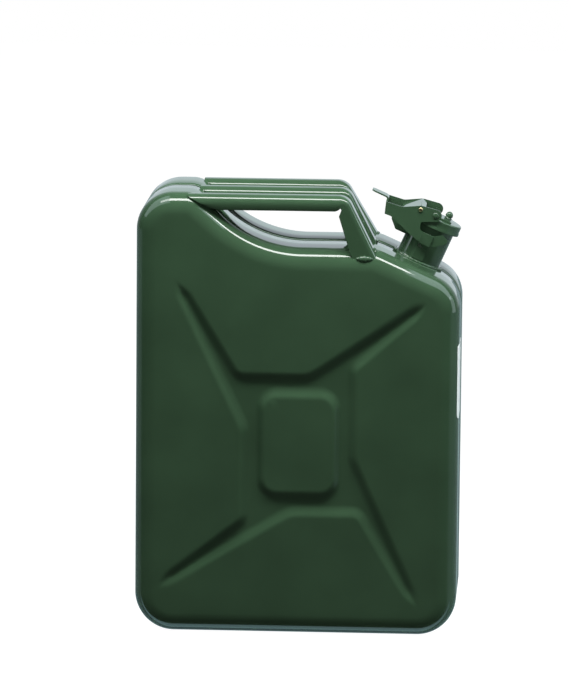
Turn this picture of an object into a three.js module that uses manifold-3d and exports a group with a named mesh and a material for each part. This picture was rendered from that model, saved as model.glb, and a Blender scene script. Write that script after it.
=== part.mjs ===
// A 20 litre steel fuel can: two pressed half shells, three carrying handles,
// a tilted filler neck and a hinged cap that a cam lever pulls down.
// Millimetres, +Z up. The origin is the middle of the base, +X points to the
// spout side and -Y to the front shell.

import * as THREE from 'three';
import { mergeVertices } from 'three/addons/utils/BufferGeometryUtils.js';
import Module from 'manifold-3d';

const wasm = await Module();
wasm.setup();

// Whole can
const CAN_WIDTH = 345;
const CAN_DEPTH = 165;
const CAN_HEIGHT = 475;
const SHEET = 0.9;
const SEAT_GAP = 0.3;

// Outline of the shells, seen from the front
const BASE_RADIUS = 42;
const SPOUT_SIDE_RADIUS = 40;
const HUMP_RADIUS = 40;
const HUMP_WIDTH = 62;
const HUMP_EDGE_RADIUS = 28;
const DIP_ANGLE = 40;
const DIP_RADIUS = 129;
const DECK_DROP = 58;
const SHOULDER_WIDTH = 90;
const SHOULDER_ANGLE = 24;
const SHOULDER_RADIUS = 30;

// Section of a shell from the panel to the welded seam
const EDGE_RADIUS = 22;
const GUTTER_HALF_WIDTH = 10;
const GUTTER_DEPTH = 6;
const GUTTER_EDGE_DROP = 1.5;
const GUTTER_EDGE_RUN = 2.8;
const GUTTER_FLOOR_RISE = 0.9;
const GUTTER_FLOOR_HALF = 4;
const FLANGE_RISE = 4.5;
const FLANGE_THICKNESS = 1.1;
const SEAM_GAP = 0.3;

// Pressed cross in the panels, with a raised pad in its middle
const EMBOSS_DEPTH = 6;
const EMBOSS_RUN = 9.5;
const PAD_X = 2.5;
const PAD_DROP = 1.5;
const PAD_WIDTH = 90;
const PAD_HEIGHT = 124;
const PAD_RUN = 8.5;
const PAD_RADIUS = 13;
const MOAT_X = 18;
const MOAT_Z = 15.8;
const ROOT_OUT = 20;
const NEAR_ROOT_BACK = 8.4;
const FAR_ROOT_BACK = 3.1;
const ARM_ROOT_WIDTH = 29;
const FIELD_NEAR_RADIUS = 9;
const FIELD_FAR_RADIUS = 24;
const ARM_TIP_WIDTH = 16;
const ARM_TIP_RADIUS = 5;
const ARM_TIP_RUN = 14;
const ARM_TIP_DEPTH = 3;
const ARM_VALLEY_WIDTH = 1.6;
const HUMP_ARM_SIDE = 49;
const HUMP_ARM_TOP = 103;
const SPOUT_ARM_SIDE = 46;
const SPOUT_ARM_DROP = 65;
const LOW_ARM_SIDE = 38;
const LOW_ARM_BASE = 60;
const SPOUT_LOW_ARM_SIDE = 50;
const SPOUT_LOW_ARM_BASE = 48;

// Handles: inverted channels, bent down on to the deck
const HANDLE_WIDTH = 27;
const HANDLE_WALL = 1.5;
const HANDLE_EDGE_INSET = 2.7;
const HANDLE_DROP = 1;
const HANDLE_HEIGHT = 14.5;
const HANDLE_EDGE_RADIUS = 5;
const HANDLE_BEND_RADIUS = 18;
const HANDLE_NOTCH_HEIGHT = 6;
const HANDLE_NOTCH_SHARES = [0.7, 0.1, 0, 0.1];
const HANDLE_LEG_ANGLE = 32;
const HANDLE_LEG_TOP = 12.2;
const HANDLE_LEG_FOOT = 22;
const HANDLE_FOOT_INSET = 93;
const HANDLE_LAP = 7;

// Filler neck
const NECK_INSET = 47.2;
const NECK_RADIUS = 24;
const NECK_WALL = 1.4;
const NECK_HEIGHT = 46.4;
const NECK_DEPTH = 7;
const LIP_OVERHANG = 1.2;
const LIP_HEIGHT = 2;
const COLLAR_WALL = 1.4;
const COLLAR_FLANGE = 2.8;
const COLLAR_HEIGHT = 2.4;

// Cap with its seal, top bracket and hinge arm
const CAP_CLEARANCE = 2.1;
const CAP_WALL = 0.9;
const CAP_SKIRT = 6.4;
const CAP_FLARE = 0.8;
const CAP_FLARE_HEIGHT = 3.4;
const CAP_EDGE_RADIUS = 1.5;
const SEAL_THICKNESS = 2.9;
const SEAL_BORE_RADIUS = 15;
const BRACKET_PLATE = 1.5;
const BRACKET_LENGTH = 30;
const BRACKET_TAIL = 14;
const EAR_THICKNESS = 1.6;
const EAR_RADIUS = 5;
const STUD_OFFSET = 11;
const STUD_RADIUS = 4;
const STUD_HEIGHT = 8.5;
const STUD_FOOT_HEIGHT = 1.7;
const STUD_WAIST_RADIUS = 3.3;
const STUD_WAIST_HEIGHT = 0.8;
const HINGE_OFFSET = 9.5;
const HINGE_DROP = 10.4;
const HINGE_PIN_RADIUS = 2;
const HINGE_PIN_HEAD = 1.2;
const HINGE_PIN_HEAD_RADIUS = 3;
const KNUCKLE_RADIUS = 4.5;
const KNUCKLE_TURNS = [0.3, 0.8];
const KNUCKLE_FLAT = 1.1;
const ARM_HALF_WIDTH = 12.5;
const ARM_WALL = 1.8;
const ARM_RISE = 12.3;
const HINGE_LUG = 2;
const HINGE_LUG_REACH = 6;
const HINGE_FOOT_DROP = 14.8;

// Lever, its rivets and the locking pin, measured from the lever's pivot
const PIVOT_X = -3;
const PIVOT_RISE = 3.4;
const LEVER_CLEARANCE = 0.5;
const CHEEK = 1.6;
const NOSE_RADIUS = 6.5;
const MOUTH_RADIUS = 22;
const MOUTH_TOP_ANGLE = 60;
const MOUTH_BACK_ANGLE = 244;
const MOUTH_FRONT_ANGLE = 314;
const MOUTH_X = 11.5;
const MOUTH_DROP = 12.5;
const MOUTH_END_RADIUS = 2.5;
const JAW_DEPTH = 10;
const JAW_REACH = 26.5;
const JAW_TIP_DROP = 20.5;
const JAW_TIP_RADIUS = 4.5;
const JAW_FOOT_X = 10.7;
const HEEL_X = 20;
const HEEL_DROP = 28.7;
const THROAT_X = 43;
const THROAT_DROP = 20.3;
const TAIL_REACH = 54.5;
const TAIL_HEIGHT = 12.5;
const TAIL_TOP_DROP = 8.3;
const TAIL_LEAN = 4;
const TONGUE_LENGTH = 18;
const TONGUE_WIDTH = 20;
const TONGUE_RISE = 2.5;
const TONGUE_RADIUS = 5;
const CREST_X = 18.5;
const CREST_RISE = 3.6;
const WEB_BACK = 36;
const WEB_BACK_DROP = 6;
const WEB_RUN = 9;
const WEB_MIDDLE_DROP = 3.2;
const WEB_SINK = 3.5;
const WEB_THICKNESS = 2.1;
const WEB_FRONT = 13;
const RIVET_RADIUS = 2;
const RIVET_HEAD_RADIUS = 3.4;
const RIVET_HEAD_HEIGHT = 1.3;
const PIN_X = 17.3;
const PIN_DROP = 0.5;
const PIN_RADIUS = 1.6;
const PIN_HEAD_RADIUS = 2.5;
const PIN_HEAD_HEIGHT = 1.6;
const PIN_TIP = 4;

// Keeper straps beside the neck
const STRAP_BACK = 7.8;
const STRAP_FRONT = 4.6;
const STRAP = 1.5;
const STRAP_CLEARANCE = 0.4;
const STRAP_JOGGLE = 5;
const STRAP_COVER = 11.5;

// Breather tube between the neck and the air space in the hump
const BREATHER_RADIUS = 4.5;
const BREATHER_WALL = 0.9;
const BREATHER_TOP = 30;
const BREATHER_GAP = 0.8;
const BREATHER_STEP_COUNT = 24;
const BREATHER_SIDE_COUNT = 8;

// Facets
const ARC_STEP = 12;
const ROUND_STEPS = 36;
const SMALL_ROUND_STEPS = 20;
const EDGE_STEPS = 4;
const CORNER_STEPS = 4;

const ENAMEL = new THREE.MeshStandardMaterial({ color: 0x2f4a38, roughness: 0.22, metalness: 0.1 });
const RUBBER = new THREE.MeshStandardMaterial({ color: 0x1b1b1a, roughness: 0.85, metalness: 0 });
const ZINC = new THREE.MeshStandardMaterial({ color: 0x9a9c98, roughness: 0.4, metalness: 0.9 });
const BRASS = new THREE.MeshStandardMaterial({ color: 0xb9a878, roughness: 0.35, metalness: 0.9 });

const radians = THREE.MathUtils.degToRad;

// A point in a plane: x across, y up
const at = (x, y) => new THREE.Vector2(x, y);

// Where two lines cross, each given by a point and a direction
function crossing(p, u, q, v) {
  const step = q.clone().sub(p).cross(v) / u.cross(v);
  return p.clone().addScaledVector(u, step);
}

// Arc points that round one corner of a polygon; steps segments, radius limited by the two edges
function roundCorner(before, corner, after, radius, steps) {
  const back = before.clone().sub(corner);
  const ahead = after.clone().sub(corner);
  const half = Math.abs(back.angleTo(ahead)) / 2;
  const room = Math.min(back.length(), ahead.length()) * 0.499;
  const run = Math.min(radius / Math.tan(half), room);
  const size = run * Math.tan(half);
  back.normalize();
  ahead.normalize();
  const axis = back.clone().add(ahead).normalize();
  const centre = corner.clone().addScaledVector(axis, size / Math.sin(half));
  const start = corner.clone().addScaledVector(back, run).sub(centre);
  const turn = (Math.PI - 2 * half) * Math.sign(ahead.cross(back));
  const points = [];
  for (let i = 0; i <= steps; i += 1) {
    points.push(start.clone().rotateAround(at(0, 0), turn * i / steps).add(centre));
  }
  return points;
}

// A closed polygon whose corners are rounded; each corner is { p, r, n }
function rounded(corners) {
  return corners.flatMap((corner, i) => {
    const before = corners.at(i - 1).p;
    const after = corners[(i + 1) % corners.length].p;
    return corner.r > 0 ? roundCorner(before, corner.p, after, corner.r, corner.n) : [corner.p.clone()];
  });
}

// The corners of a closed polygon after each edge has moved inwards by its own distance
function insetPolygon(points, distances) {
  const lines = points.map((p, i) => {
    const along = points[(i + 1) % points.length].clone().sub(p).normalize();
    const inward = at(-along.y, along.x);
    return { p: p.clone().addScaledVector(inward, distances[i]), along };
  });
  return lines.map((line, i) => {
    const last = lines.at(i - 1);
    return crossing(last.p, last.along, line.p, line.along);
  });
}

// Outline of the can, anticlockwise from the front
const halfWidth = CAN_WIDTH / 2;
const halfDepth = CAN_DEPTH / 2;
const deckHeight = CAN_HEIGHT - DECK_DROP;
const deckEnd = halfWidth - SHOULDER_WIDTH;
const shoulderFall = SHOULDER_WIDTH * Math.tan(radians(SHOULDER_ANGLE));
const humpEnd = -halfWidth + HUMP_WIDTH;
const dipFoot = humpEnd + DECK_DROP / Math.tan(radians(DIP_ANGLE));
const OUTLINE = [
  { p: at(-halfWidth, 0), r: BASE_RADIUS, turn: 90 },
  { p: at(halfWidth, 0), r: BASE_RADIUS, turn: 90 },
  { p: at(halfWidth, deckHeight - shoulderFall), r: SPOUT_SIDE_RADIUS, turn: 90 - SHOULDER_ANGLE },
  { p: at(deckEnd, deckHeight), r: SHOULDER_RADIUS, turn: SHOULDER_ANGLE },
  { p: at(dipFoot, deckHeight), r: DIP_RADIUS, turn: -DIP_ANGLE },
  { p: at(humpEnd, CAN_HEIGHT), r: HUMP_EDGE_RADIUS, turn: DIP_ANGLE },
  { p: at(-halfWidth, CAN_HEIGHT), r: HUMP_RADIUS, turn: 90 },
];

// The outline moved inwards by a distance, with the same number of points each time
function outline(inset) {
  const corners = insetPolygon(OUTLINE.map((c) => c.p), OUTLINE.map(() => inset));
  return rounded(OUTLINE.map((c, i) => ({
    p: corners[i],
    r: c.r - Math.sign(c.turn) * inset,
    n: Math.ceil(Math.abs(c.turn) / ARC_STEP),
  })));
}

// Collects triangles between loops of points and makes one closed geometry
class Skin {
  constructor() {
    this.positions = [];
  }

  triangle(a, b, c) {
    this.positions.push(...a, ...b, ...c);
  }

  // Band between two closed loops of equally many points
  band(front, back) {
    front.forEach((p, i) => {
      const j = (i + 1) % front.length;
      this.triangle(p, back[i], front[j]);
      this.triangle(front[j], back[i], back[j]);
    });
  }

  // Fills flat loops, an outside and its holes, with triangles through the matching points;
  // they run anticlockwise in the flat loops, or clockwise if turned
  fill(flat, points, turned) {
    for (const [a, b, c] of THREE.ShapeUtils.triangulateShape(flat[0], flat.slice(1))) {
      const all = flat.flat();
      const clockwise = all[b].clone().sub(all[a]).cross(all[c].clone().sub(all[a])) < 0;
      if (clockwise === turned) this.triangle(points[a], points[b], points[c]);
      else this.triangle(points[a], points[c], points[b]);
    }
  }

  // Face inside a loop of points, less its holes; faces -Y, or +Y if turned
  face(loop, holes = [], turned = false) {
    const loops = [loop, ...holes];
    this.fill(loops.map((points) => points.map((p) => at(p.x, p.z))), loops.flat(), turned);
  }

  geometry() {
    const geometry = new THREE.BufferGeometry();
    geometry.setAttribute('position', new THREE.Float32BufferAttribute(this.positions, 3));
    return mergeVertices(geometry, 1e-4);
  }
}

// Lifts a loop of XZ points to a depth, one value or one for each point
function lift(points, depth) {
  return points.map((p, i) => new THREE.Vector3(p.x, Array.isArray(depth) ? depth[i] : depth, p.y));
}

// A geometry as a solid that can be joined and cut
function solid(geometry) {
  const plain = geometry.clone();
  plain.deleteAttribute('normal');
  plain.deleteAttribute('uv');
  const merged = mergeVertices(plain, 1e-4);
  const index = merged.index.array;
  const triVerts = [];
  for (let i = 0; i < index.length; i += 3) {
    const [a, b, c] = [index[i], index[i + 1], index[i + 2]];
    if (a !== b && b !== c && c !== a) triVerts.push(a, b, c);
  }
  return new wasm.Manifold(new wasm.Mesh({
    numProp: 3,
    vertProperties: merged.attributes.position.array,
    triVerts: Uint32Array.from(triVerts),
  }));
}

// A solid as a geometry
function geometryOf(body) {
  const mesh = body.getMesh();
  const geometry = new THREE.BufferGeometry();
  geometry.setAttribute('position', new THREE.BufferAttribute(mesh.vertProperties, 3));
  geometry.setIndex(new THREE.BufferAttribute(mesh.triVerts, 1));
  geometry.computeVertexNormals();
  return geometry;
}

// A flat outline in XZ, extruded along Y between two depths
function slab(points, low, high) {
  const geometry = new THREE.ExtrudeGeometry(new THREE.Shape(points), {
    depth: high - low,
    bevelEnabled: false,
  });
  return geometry.rotateX(Math.PI / 2).translate(0, high, 0);
}

// A flat outline in YZ, extruded along X between two places
function bar(points, low, high) {
  const geometry = new THREE.ExtrudeGeometry(new THREE.Shape(points), {
    depth: high - low,
    bevelEnabled: false,
  });
  return geometry.rotateX(Math.PI / 2).rotateZ(Math.PI / 2).translate(low, 0, 0);
}

// A profile of (radius, height) points turned round Z
function turned(points, steps = ROUND_STEPS) {
  return new THREE.LatheGeometry(points, steps).rotateX(Math.PI / 2);
}

// A turned piece laid along Y at (x, z); its heights are measured along +Y
function crossPin(points, x, z) {
  return new THREE.LatheGeometry(points, SMALL_ROUND_STEPS).translate(x, 0, z);
}

function mesh(name, geometry, material) {
  const piece = new THREE.Mesh(geometry, material);
  piece.name = name;
  return piece;
}

// Profile of a domed head, from its rim up to its crown on the axis
function dome(radius, foot, top) {
  return Array.from({ length: EDGE_STEPS + 1 }, (_, i) => {
    const angle = Math.PI / 2 * i / EDGE_STEPS;
    return at(i < EDGE_STEPS ? radius * Math.cos(angle) : 0, foot + (top - foot) * Math.sin(angle));
  });
}

// The same geometry on the other side of the seam
function mirrored(geometry) {
  const copy = geometry.clone().scale(1, -1, 1);
  const index = copy.index.array;
  for (let i = 0; i < index.length; i += 3) {
    [index[i + 1], index[i + 2]] = [index[i + 2], index[i + 1]];
  }
  return copy;
}

// The pad's middle is half way up to the deck, less a drop
const padZ = deckHeight / 2 - PAD_DROP;

// Arms of the pressed cross, anticlockwise from the hump: each has a tip, a line to its root, and
// two sides that end on the edges of the fields between the arms
function crossArms() {
  const pad = at(PAD_X, padZ);
  const padHalf = at(PAD_WIDTH / 2, PAD_HEIGHT / 2);
  const left = { p: pad.clone().add(at(-padHalf.x - MOAT_X, 0)), along: at(0, 1) };
  const right = { p: pad.clone().add(at(padHalf.x + MOAT_X, 0)), along: at(0, 1) };
  const top = { p: pad.clone().add(at(0, padHalf.y + MOAT_Z)), along: at(1, 0) };
  const bottom = { p: pad.clone().add(at(0, -padHalf.y - MOAT_Z)), along: at(1, 0) };
  const nearRoot = padHalf.clone().add(at(ROOT_OUT, -NEAR_ROOT_BACK));
  const farRoot = padHalf.clone().add(at(-FAR_ROOT_BACK, ROOT_OUT));
  const arms = [
    {
      tip: at(-halfWidth + HUMP_ARM_SIDE, CAN_HEIGHT - HUMP_ARM_TOP),
      root: at(-nearRoot.x, nearRoot.y),
      edges: [top, left],
    },
    {
      tip: at(-halfWidth + LOW_ARM_SIDE, LOW_ARM_BASE),
      root: at(-farRoot.x, -farRoot.y),
      edges: [left, bottom],
    },
    {
      tip: at(halfWidth - SPOUT_LOW_ARM_SIDE, SPOUT_LOW_ARM_BASE),
      root: at(nearRoot.x, -nearRoot.y),
      edges: [bottom, right],
    },
    {
      tip: at(halfWidth - SPOUT_ARM_SIDE, deckHeight - SPOUT_ARM_DROP),
      root: at(farRoot.x, farRoot.y),
      edges: [right, top],
    },
  ];
  return arms.map(({ tip, root, edges }) => {
    const end = root.add(pad);
    const along = end.clone().sub(tip).normalize();
    const across = at(along.y, -along.x);
    const sides = [-1, 1].map((side, i) => {
      const start = tip.clone().addScaledVector(across, side * ARM_TIP_WIDTH / 2);
      const line = end.clone().addScaledVector(across, side * ARM_ROOT_WIDTH / 2).sub(start);
      return { start, corner: crossing(start, line, edges[i].p, edges[i].along) };
    });
    return { tip, along, across, sides };
  });
}

// The cross as two loops: its rim on the panel and its floor, point for point
function crossLoops() {
  const arms = crossArms();
  const rim = arms.flatMap(({ sides: [first, second] }) => [
    first.corner, first.start, second.start, second.corner,
  ]);
  const floor = insetPolygon(rim, rim.map(() => EMBOSS_RUN));
  arms.forEach(({ tip, along, across }, i) => {
    const end = tip.clone().addScaledVector(along, ARM_TIP_RUN);
    floor[4 * i + 1] = end.clone().addScaledVector(across, -ARM_VALLEY_WIDTH / 2);
    floor[4 * i + 2] = end.clone().addScaledVector(across, ARM_VALLEY_WIDTH / 2);
  });
  const kinds = [FIELD_NEAR_RADIUS, ARM_TIP_RADIUS, ARM_TIP_RADIUS, FIELD_FAR_RADIUS];
  const nearFirst = [kinds, kinds, kinds, kinds].flat();
  const round = (points, share) => rounded(points.map((p, i) => ({
    p,
    r: nearFirst[i] === ARM_TIP_RADIUS ? ARM_TIP_RADIUS * share : nearFirst[i],
    n: CORNER_STEPS,
  })));
  const depths = rim.flatMap((p, i) => {
    const deep = nearFirst[i] === ARM_TIP_RADIUS ? ARM_TIP_DEPTH : EMBOSS_DEPTH;
    return Array(CORNER_STEPS + 1).fill(deep);
  });
  return { rim: round(rim, 1), floor: round(floor, ARM_VALLEY_WIDTH / ARM_TIP_WIDTH), depths };
}

// Loop round the raised pad, moved inwards by a distance
function padLoop(inset) {
  const x = PAD_WIDTH / 2 - inset;
  const z = PAD_HEIGHT / 2 - inset;
  const corners = [at(-x, -z), at(x, -z), at(x, z), at(-x, z)];
  return rounded(corners.map((p) => ({
    p: p.add(at(PAD_X, padZ)),
    r: PAD_RADIUS - inset,
    n: CORNER_STEPS,
  })));
}

// Places along a shell's wall as [inset, depth], from the panel to the seam and back inside
function shellSection() {
  const arc = (radius) => Array.from({ length: EDGE_STEPS + 1 }, (_, i) => {
    const angle = Math.PI / 2 * i / EDGE_STEPS;
    return [
      EDGE_RADIUS - radius * Math.sin(angle),
      -(halfDepth - EDGE_RADIUS) - radius * Math.cos(angle),
    ];
  });
  const mate = -SEAM_GAP / 2;
  const flangeBack = mate - FLANGE_THICKNESS;
  const flangeTip = GUTTER_DEPTH - FLANGE_RISE;
  const floor = GUTTER_DEPTH - GUTTER_FLOOR_RISE;
  const outer = [
    ...arc(EDGE_RADIUS),
    [0, -GUTTER_HALF_WIDTH],
    [GUTTER_EDGE_DROP, -GUTTER_HALF_WIDTH + GUTTER_EDGE_RUN],
    [floor, -GUTTER_FLOOR_HALF],
    [GUTTER_DEPTH, flangeBack - SHEET],
    [GUTTER_DEPTH, flangeBack],
    [flangeTip, flangeBack],
    [flangeTip, mate],
  ];
  const inner = [
    [GUTTER_DEPTH + SHEET, mate],
    [GUTTER_DEPTH + SHEET, flangeBack - SHEET],
    [floor + SHEET, -GUTTER_FLOOR_HALF - SHEET],
    [SHEET, -GUTTER_HALF_WIDTH - SHEET],
    ...arc(EDGE_RADIUS - SHEET).reverse(),
  ];
  return [...outer, ...inner];
}

// The pressed panel inside its edge: cross, floor and pad, facing out or in
function pressPanel(skin, edge, depth, inward) {
  const { rim, floor, depths } = crossLoops();
  const rimLoop = lift(rim, depth);
  const floorLoop = lift(floor, depths.map((d) => depth + d));
  const padBase = lift(padLoop(0), depth + EMBOSS_DEPTH);
  const padTop = lift(padLoop(PAD_RUN), depth);
  const bands = [[floorLoop, rimLoop], [padTop, padBase]];
  bands.forEach(([a, b]) => (inward ? skin.band(b, a) : skin.band(a, b)));
  skin.face(edge, [rimLoop], inward);
  skin.face(floorLoop, [padBase], inward);
  skin.face(padTop, [], inward);
}

// One half of the can, pressed from sheet, before the neck hole is cut
function shellGeometry() {
  const skin = new Skin();
  const loops = shellSection().map(([inset, depth]) => lift(outline(inset), depth));
  loops.slice(1).forEach((loop, i) => skin.band(loops[i], loop));
  pressPanel(skin, loops[0], -halfDepth, false);
  pressPanel(skin, loops.at(-1), -halfDepth + SHEET, true);
  return skin.geometry();
}

// The closed outside of both shells, grown by the seat gap, for cutting what sits on it
function outsideGeometry() {
  const radius = EDGE_RADIUS + SEAT_GAP;
  const half = Array.from({ length: EDGE_STEPS + 1 }, (_, i) => {
    const angle = Math.PI / 2 * i / EDGE_STEPS;
    const inset = EDGE_RADIUS - radius * Math.sin(angle);
    return [inset, -(halfDepth - EDGE_RADIUS) - radius * Math.cos(angle)];
  });
  const places = [...half, ...half.map(([inset, depth]) => [inset, -depth]).reverse()];
  const loops = places.map(([inset, depth]) => lift(outline(inset), depth));
  const skin = new Skin();
  loops.slice(1).forEach((loop, i) => skin.band(loops[i], loop));
  skin.face(loops[0]);
  skin.face(loops.at(-1), [], true);
  return skin.geometry();
}

// The neck's own frame: origin where its axis meets the shoulder, Z along the axis
const neckX = halfWidth - NECK_INSET;
const neckZ = deckHeight - (neckX - deckEnd) * Math.tan(radians(SHOULDER_ANGLE));
const closure = new THREE.Group();
closure.position.set(neckX, 0, neckZ);
closure.rotation.y = radians(SHOULDER_ANGLE);
closure.updateMatrixWorld();

// A point of the neck's frame in the can's frame
const fromNeck = (x, z) => new THREE.Vector3(x, 0, z).applyMatrix4(closure.matrixWorld);

const neckBore = NECK_RADIUS - NECK_WALL;
const collarBore = NECK_RADIUS + SEAT_GAP;
const neckHole = collarBore + COLLAR_WALL + SEAT_GAP;

// Both shells, with the hole for the neck
function shells() {
  const reach = EDGE_RADIUS;
  const cutter = turned([at(0, -reach), at(neckHole, -reach), at(neckHole, reach), at(0, reach)]);
  const hole = solid(cutter.applyMatrix4(closure.matrixWorld));
  const front = geometryOf(solid(shellGeometry()).subtract(hole));
  return [mesh('front_shell', front, ENAMEL), mesh('rear_shell', mirrored(front), ENAMEL)];
}

// Channel section of a handle as [across, down] points, for a given side height
function channel(height) {
  const half = HANDLE_WIDTH / 2;
  const side = (wall) => {
    const points = [[half - wall, height]];
    const radius = HANDLE_EDGE_RADIUS - wall;
    for (let i = 0; i <= EDGE_STEPS; i += 1) {
      const angle = Math.PI / 2 * i / EDGE_STEPS;
      const across = half - HANDLE_EDGE_RADIUS + radius * Math.cos(angle);
      points.push([across, HANDLE_EDGE_RADIUS - radius * Math.sin(angle)]);
    }
    return points;
  };
  const mirror = (points) => points.map(([across, down]) => [-across, down]);
  const outer = side(0);
  const inner = side(HANDLE_WALL);
  return [...outer, ...mirror(outer).reverse(), ...mirror(inner), ...inner.reverse()];
}

// Stations of a handle from the hump to its foot: place, down direction and side height
function handleStations() {
  const top = CAN_HEIGHT - HANDLE_DROP;
  const lean = radians(HANDLE_LEG_ANGLE);
  const bend = Math.PI / 2 - lean;
  const foot = halfWidth - HANDLE_FOOT_INSET;
  const cornerX = foot - (top - deckHeight) * Math.tan(lean);
  const run = HANDLE_BEND_RADIUS * Math.tan(bend / 2);
  const down = at(0, -1);
  const stations = [
    { p: at(humpEnd - HANDLE_LAP, top), down, height: HANDLE_HEIGHT },
    { p: at(cornerX - run - HANDLE_EDGE_RADIUS, top), down, height: HANDLE_HEIGHT },
    { p: at(cornerX - run, top), down, height: HANDLE_HEIGHT - HANDLE_WALL },
  ];
  const centre = at(cornerX - run, top - HANDLE_BEND_RADIUS);
  HANDLE_NOTCH_SHARES.forEach((share, i) => {
    const angle = bend * (i + 1) / HANDLE_NOTCH_SHARES.length;
    const out = at(Math.sin(angle), Math.cos(angle));
    stations.push({
      p: centre.clone().addScaledVector(out, HANDLE_BEND_RADIUS),
      down: out.negate(),
      height: HANDLE_NOTCH_HEIGHT + share * (HANDLE_LEG_TOP - HANDLE_NOTCH_HEIGHT),
    });
  });
  const last = stations.at(-1);
  const along = at(Math.sin(lean), -Math.cos(lean));
  const legEnd = deckHeight - EDGE_RADIUS;
  const length = (last.p.y - legEnd) / Math.cos(lean);
  stations.push({
    p: last.p.clone().addScaledVector(along, HANDLE_WALL),
    down: last.down,
    height: HANDLE_LEG_TOP,
  });
  const spread = (HANDLE_LEG_FOOT - HANDLE_LEG_TOP) / (last.p.y - deckHeight);
  stations.push({
    p: last.p.clone().addScaledVector(along, length),
    down: last.down,
    height: HANDLE_LEG_TOP + spread * (last.p.y - legEnd),
  });
  return stations;
}

// A handle's channel carried along its stations, with both ends closed
function handleGeometry() {
  const loops = handleStations().map(({ p, down, height }) => channel(height).map(([across, drop]) => {
    const place = p.clone().addScaledVector(down, drop);
    return new THREE.Vector3(place.x, across, place.y);
  }));
  const skin = new Skin();
  loops.slice(1).forEach((loop, i) => skin.band(loop, loops[i]));
  const flat = channel(HANDLE_HEIGHT).map(([across, drop]) => at(across, -drop));
  skin.fill([flat], loops[0], true);
  skin.fill([flat], loops.at(-1), false);
  return skin.geometry();
}

// The three handles, cut to the shells that they are welded to
function handles() {
  const outside = solid(outsideGeometry());
  const pitch = halfDepth - HANDLE_EDGE_INSET - HANDLE_WIDTH / 2;
  const places = { front_handle: -pitch, middle_handle: 0, rear_handle: pitch };
  const blank = handleGeometry();
  return Object.entries(places).map(([name, y]) => {
    const body = solid(blank.clone().translate(0, y, 0)).subtract(outside);
    return mesh(name, geometryOf(body), ENAMEL);
  });
}

// Filler neck with its rolled lip, and the collar that it stands in
function neckPieces() {
  const lip = NECK_RADIUS + LIP_OVERHANG;
  const tube = turned([
    at(NECK_RADIUS, -NECK_DEPTH),
    at(NECK_RADIUS, NECK_HEIGHT - LIP_HEIGHT - LIP_OVERHANG),
    at(lip, NECK_HEIGHT - LIP_HEIGHT),
    at(lip, NECK_HEIGHT - LIP_HEIGHT / 4),
    at(lip - LIP_HEIGHT / 4, NECK_HEIGHT),
    at(neckBore + LIP_HEIGHT / 4, NECK_HEIGHT),
    at(neckBore, NECK_HEIGHT - LIP_HEIGHT / 2),
    at(neckBore, -NECK_DEPTH),
    at(NECK_RADIUS, -NECK_DEPTH),
  ]);
  const sleeve = collarBore + COLLAR_WALL;
  const flange = collarBore + COLLAR_FLANGE;
  const collar = turned([
    at(collarBore, -NECK_DEPTH),
    at(sleeve, -NECK_DEPTH),
    at(sleeve, SEAT_GAP),
    at(flange, SEAT_GAP),
    at(flange, COLLAR_HEIGHT / 2),
    at(sleeve, COLLAR_HEIGHT),
    at(collarBore, COLLAR_HEIGHT),
    at(collarBore, -NECK_DEPTH),
  ]);
  return [mesh('neck_tube', tube, ENAMEL), mesh('neck_collar', collar, ENAMEL)];
}

const capBore = NECK_RADIUS + LIP_OVERHANG + CAP_CLEARANCE;
const capRadius = capBore + CAP_WALL;
const sealFloor = NECK_HEIGHT + SEAT_GAP;
const capCeiling = sealFloor + SEAL_THICKNESS + SEAT_GAP;
const capTop = capCeiling + CAP_WALL;
const capFoot = NECK_HEIGHT - CAP_SKIRT;
const hinge = at(-(capRadius + CAP_FLARE + HINGE_OFFSET), NECK_HEIGHT - HINGE_DROP);
const pivot = at(PIVOT_X, capTop + PIVOT_RISE);
const pinPlace = at(pivot.x - PIN_X, pivot.y - PIN_DROP);

// Pressed cap and the sealing ring inside it
function capPieces() {
  const flareTop = capFoot + CAP_FLARE_HEIGHT;
  const edge = Array.from({ length: EDGE_STEPS + 1 }, (_, i) => {
    const angle = Math.PI / 2 * i / EDGE_STEPS;
    return at(
      capRadius - CAP_EDGE_RADIUS + CAP_EDGE_RADIUS * Math.cos(angle),
      capTop - CAP_EDGE_RADIUS + CAP_EDGE_RADIUS * Math.sin(angle),
    );
  });
  const cap = turned([
    at(0, capCeiling),
    at(capBore, capCeiling),
    at(capBore, flareTop),
    at(capBore + CAP_FLARE, capFoot + CAP_WALL),
    at(capBore + CAP_FLARE, capFoot),
    at(capRadius + CAP_FLARE, capFoot),
    at(capRadius + CAP_FLARE, capFoot + CAP_WALL),
    at(capRadius, flareTop),
    ...edge,
    at(0, capTop),
  ]);
  const sealRadius = capBore - SEAT_GAP;
  const sealTop = sealFloor + SEAL_THICKNESS;
  const seal = turned([
    at(SEAL_BORE_RADIUS, sealFloor),
    at(sealRadius, sealFloor),
    at(sealRadius, sealTop),
    at(SEAL_BORE_RADIUS, sealTop),
    at(SEAL_BORE_RADIUS, sealFloor),
  ]);
  return [mesh('cap', cap, ENAMEL), mesh('cap_seal', seal, RUBBER)];
}

const cheekInside = capRadius + LEVER_CLEARANCE;
const cheekOutside = cheekInside + CHEEK;
const earOutside = cheekInside - LEVER_CLEARANCE;
const earInside = earOutside - EAR_THICKNESS;

// A disc of XZ points about a centre
function disc(centre, radius, steps = SMALL_ROUND_STEPS) {
  return Array.from({ length: steps }, (_, i) => {
    const angle = 2 * Math.PI * i / steps;
    return at(centre.x + radius * Math.cos(angle), centre.y + radius * Math.sin(angle));
  });
}

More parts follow.
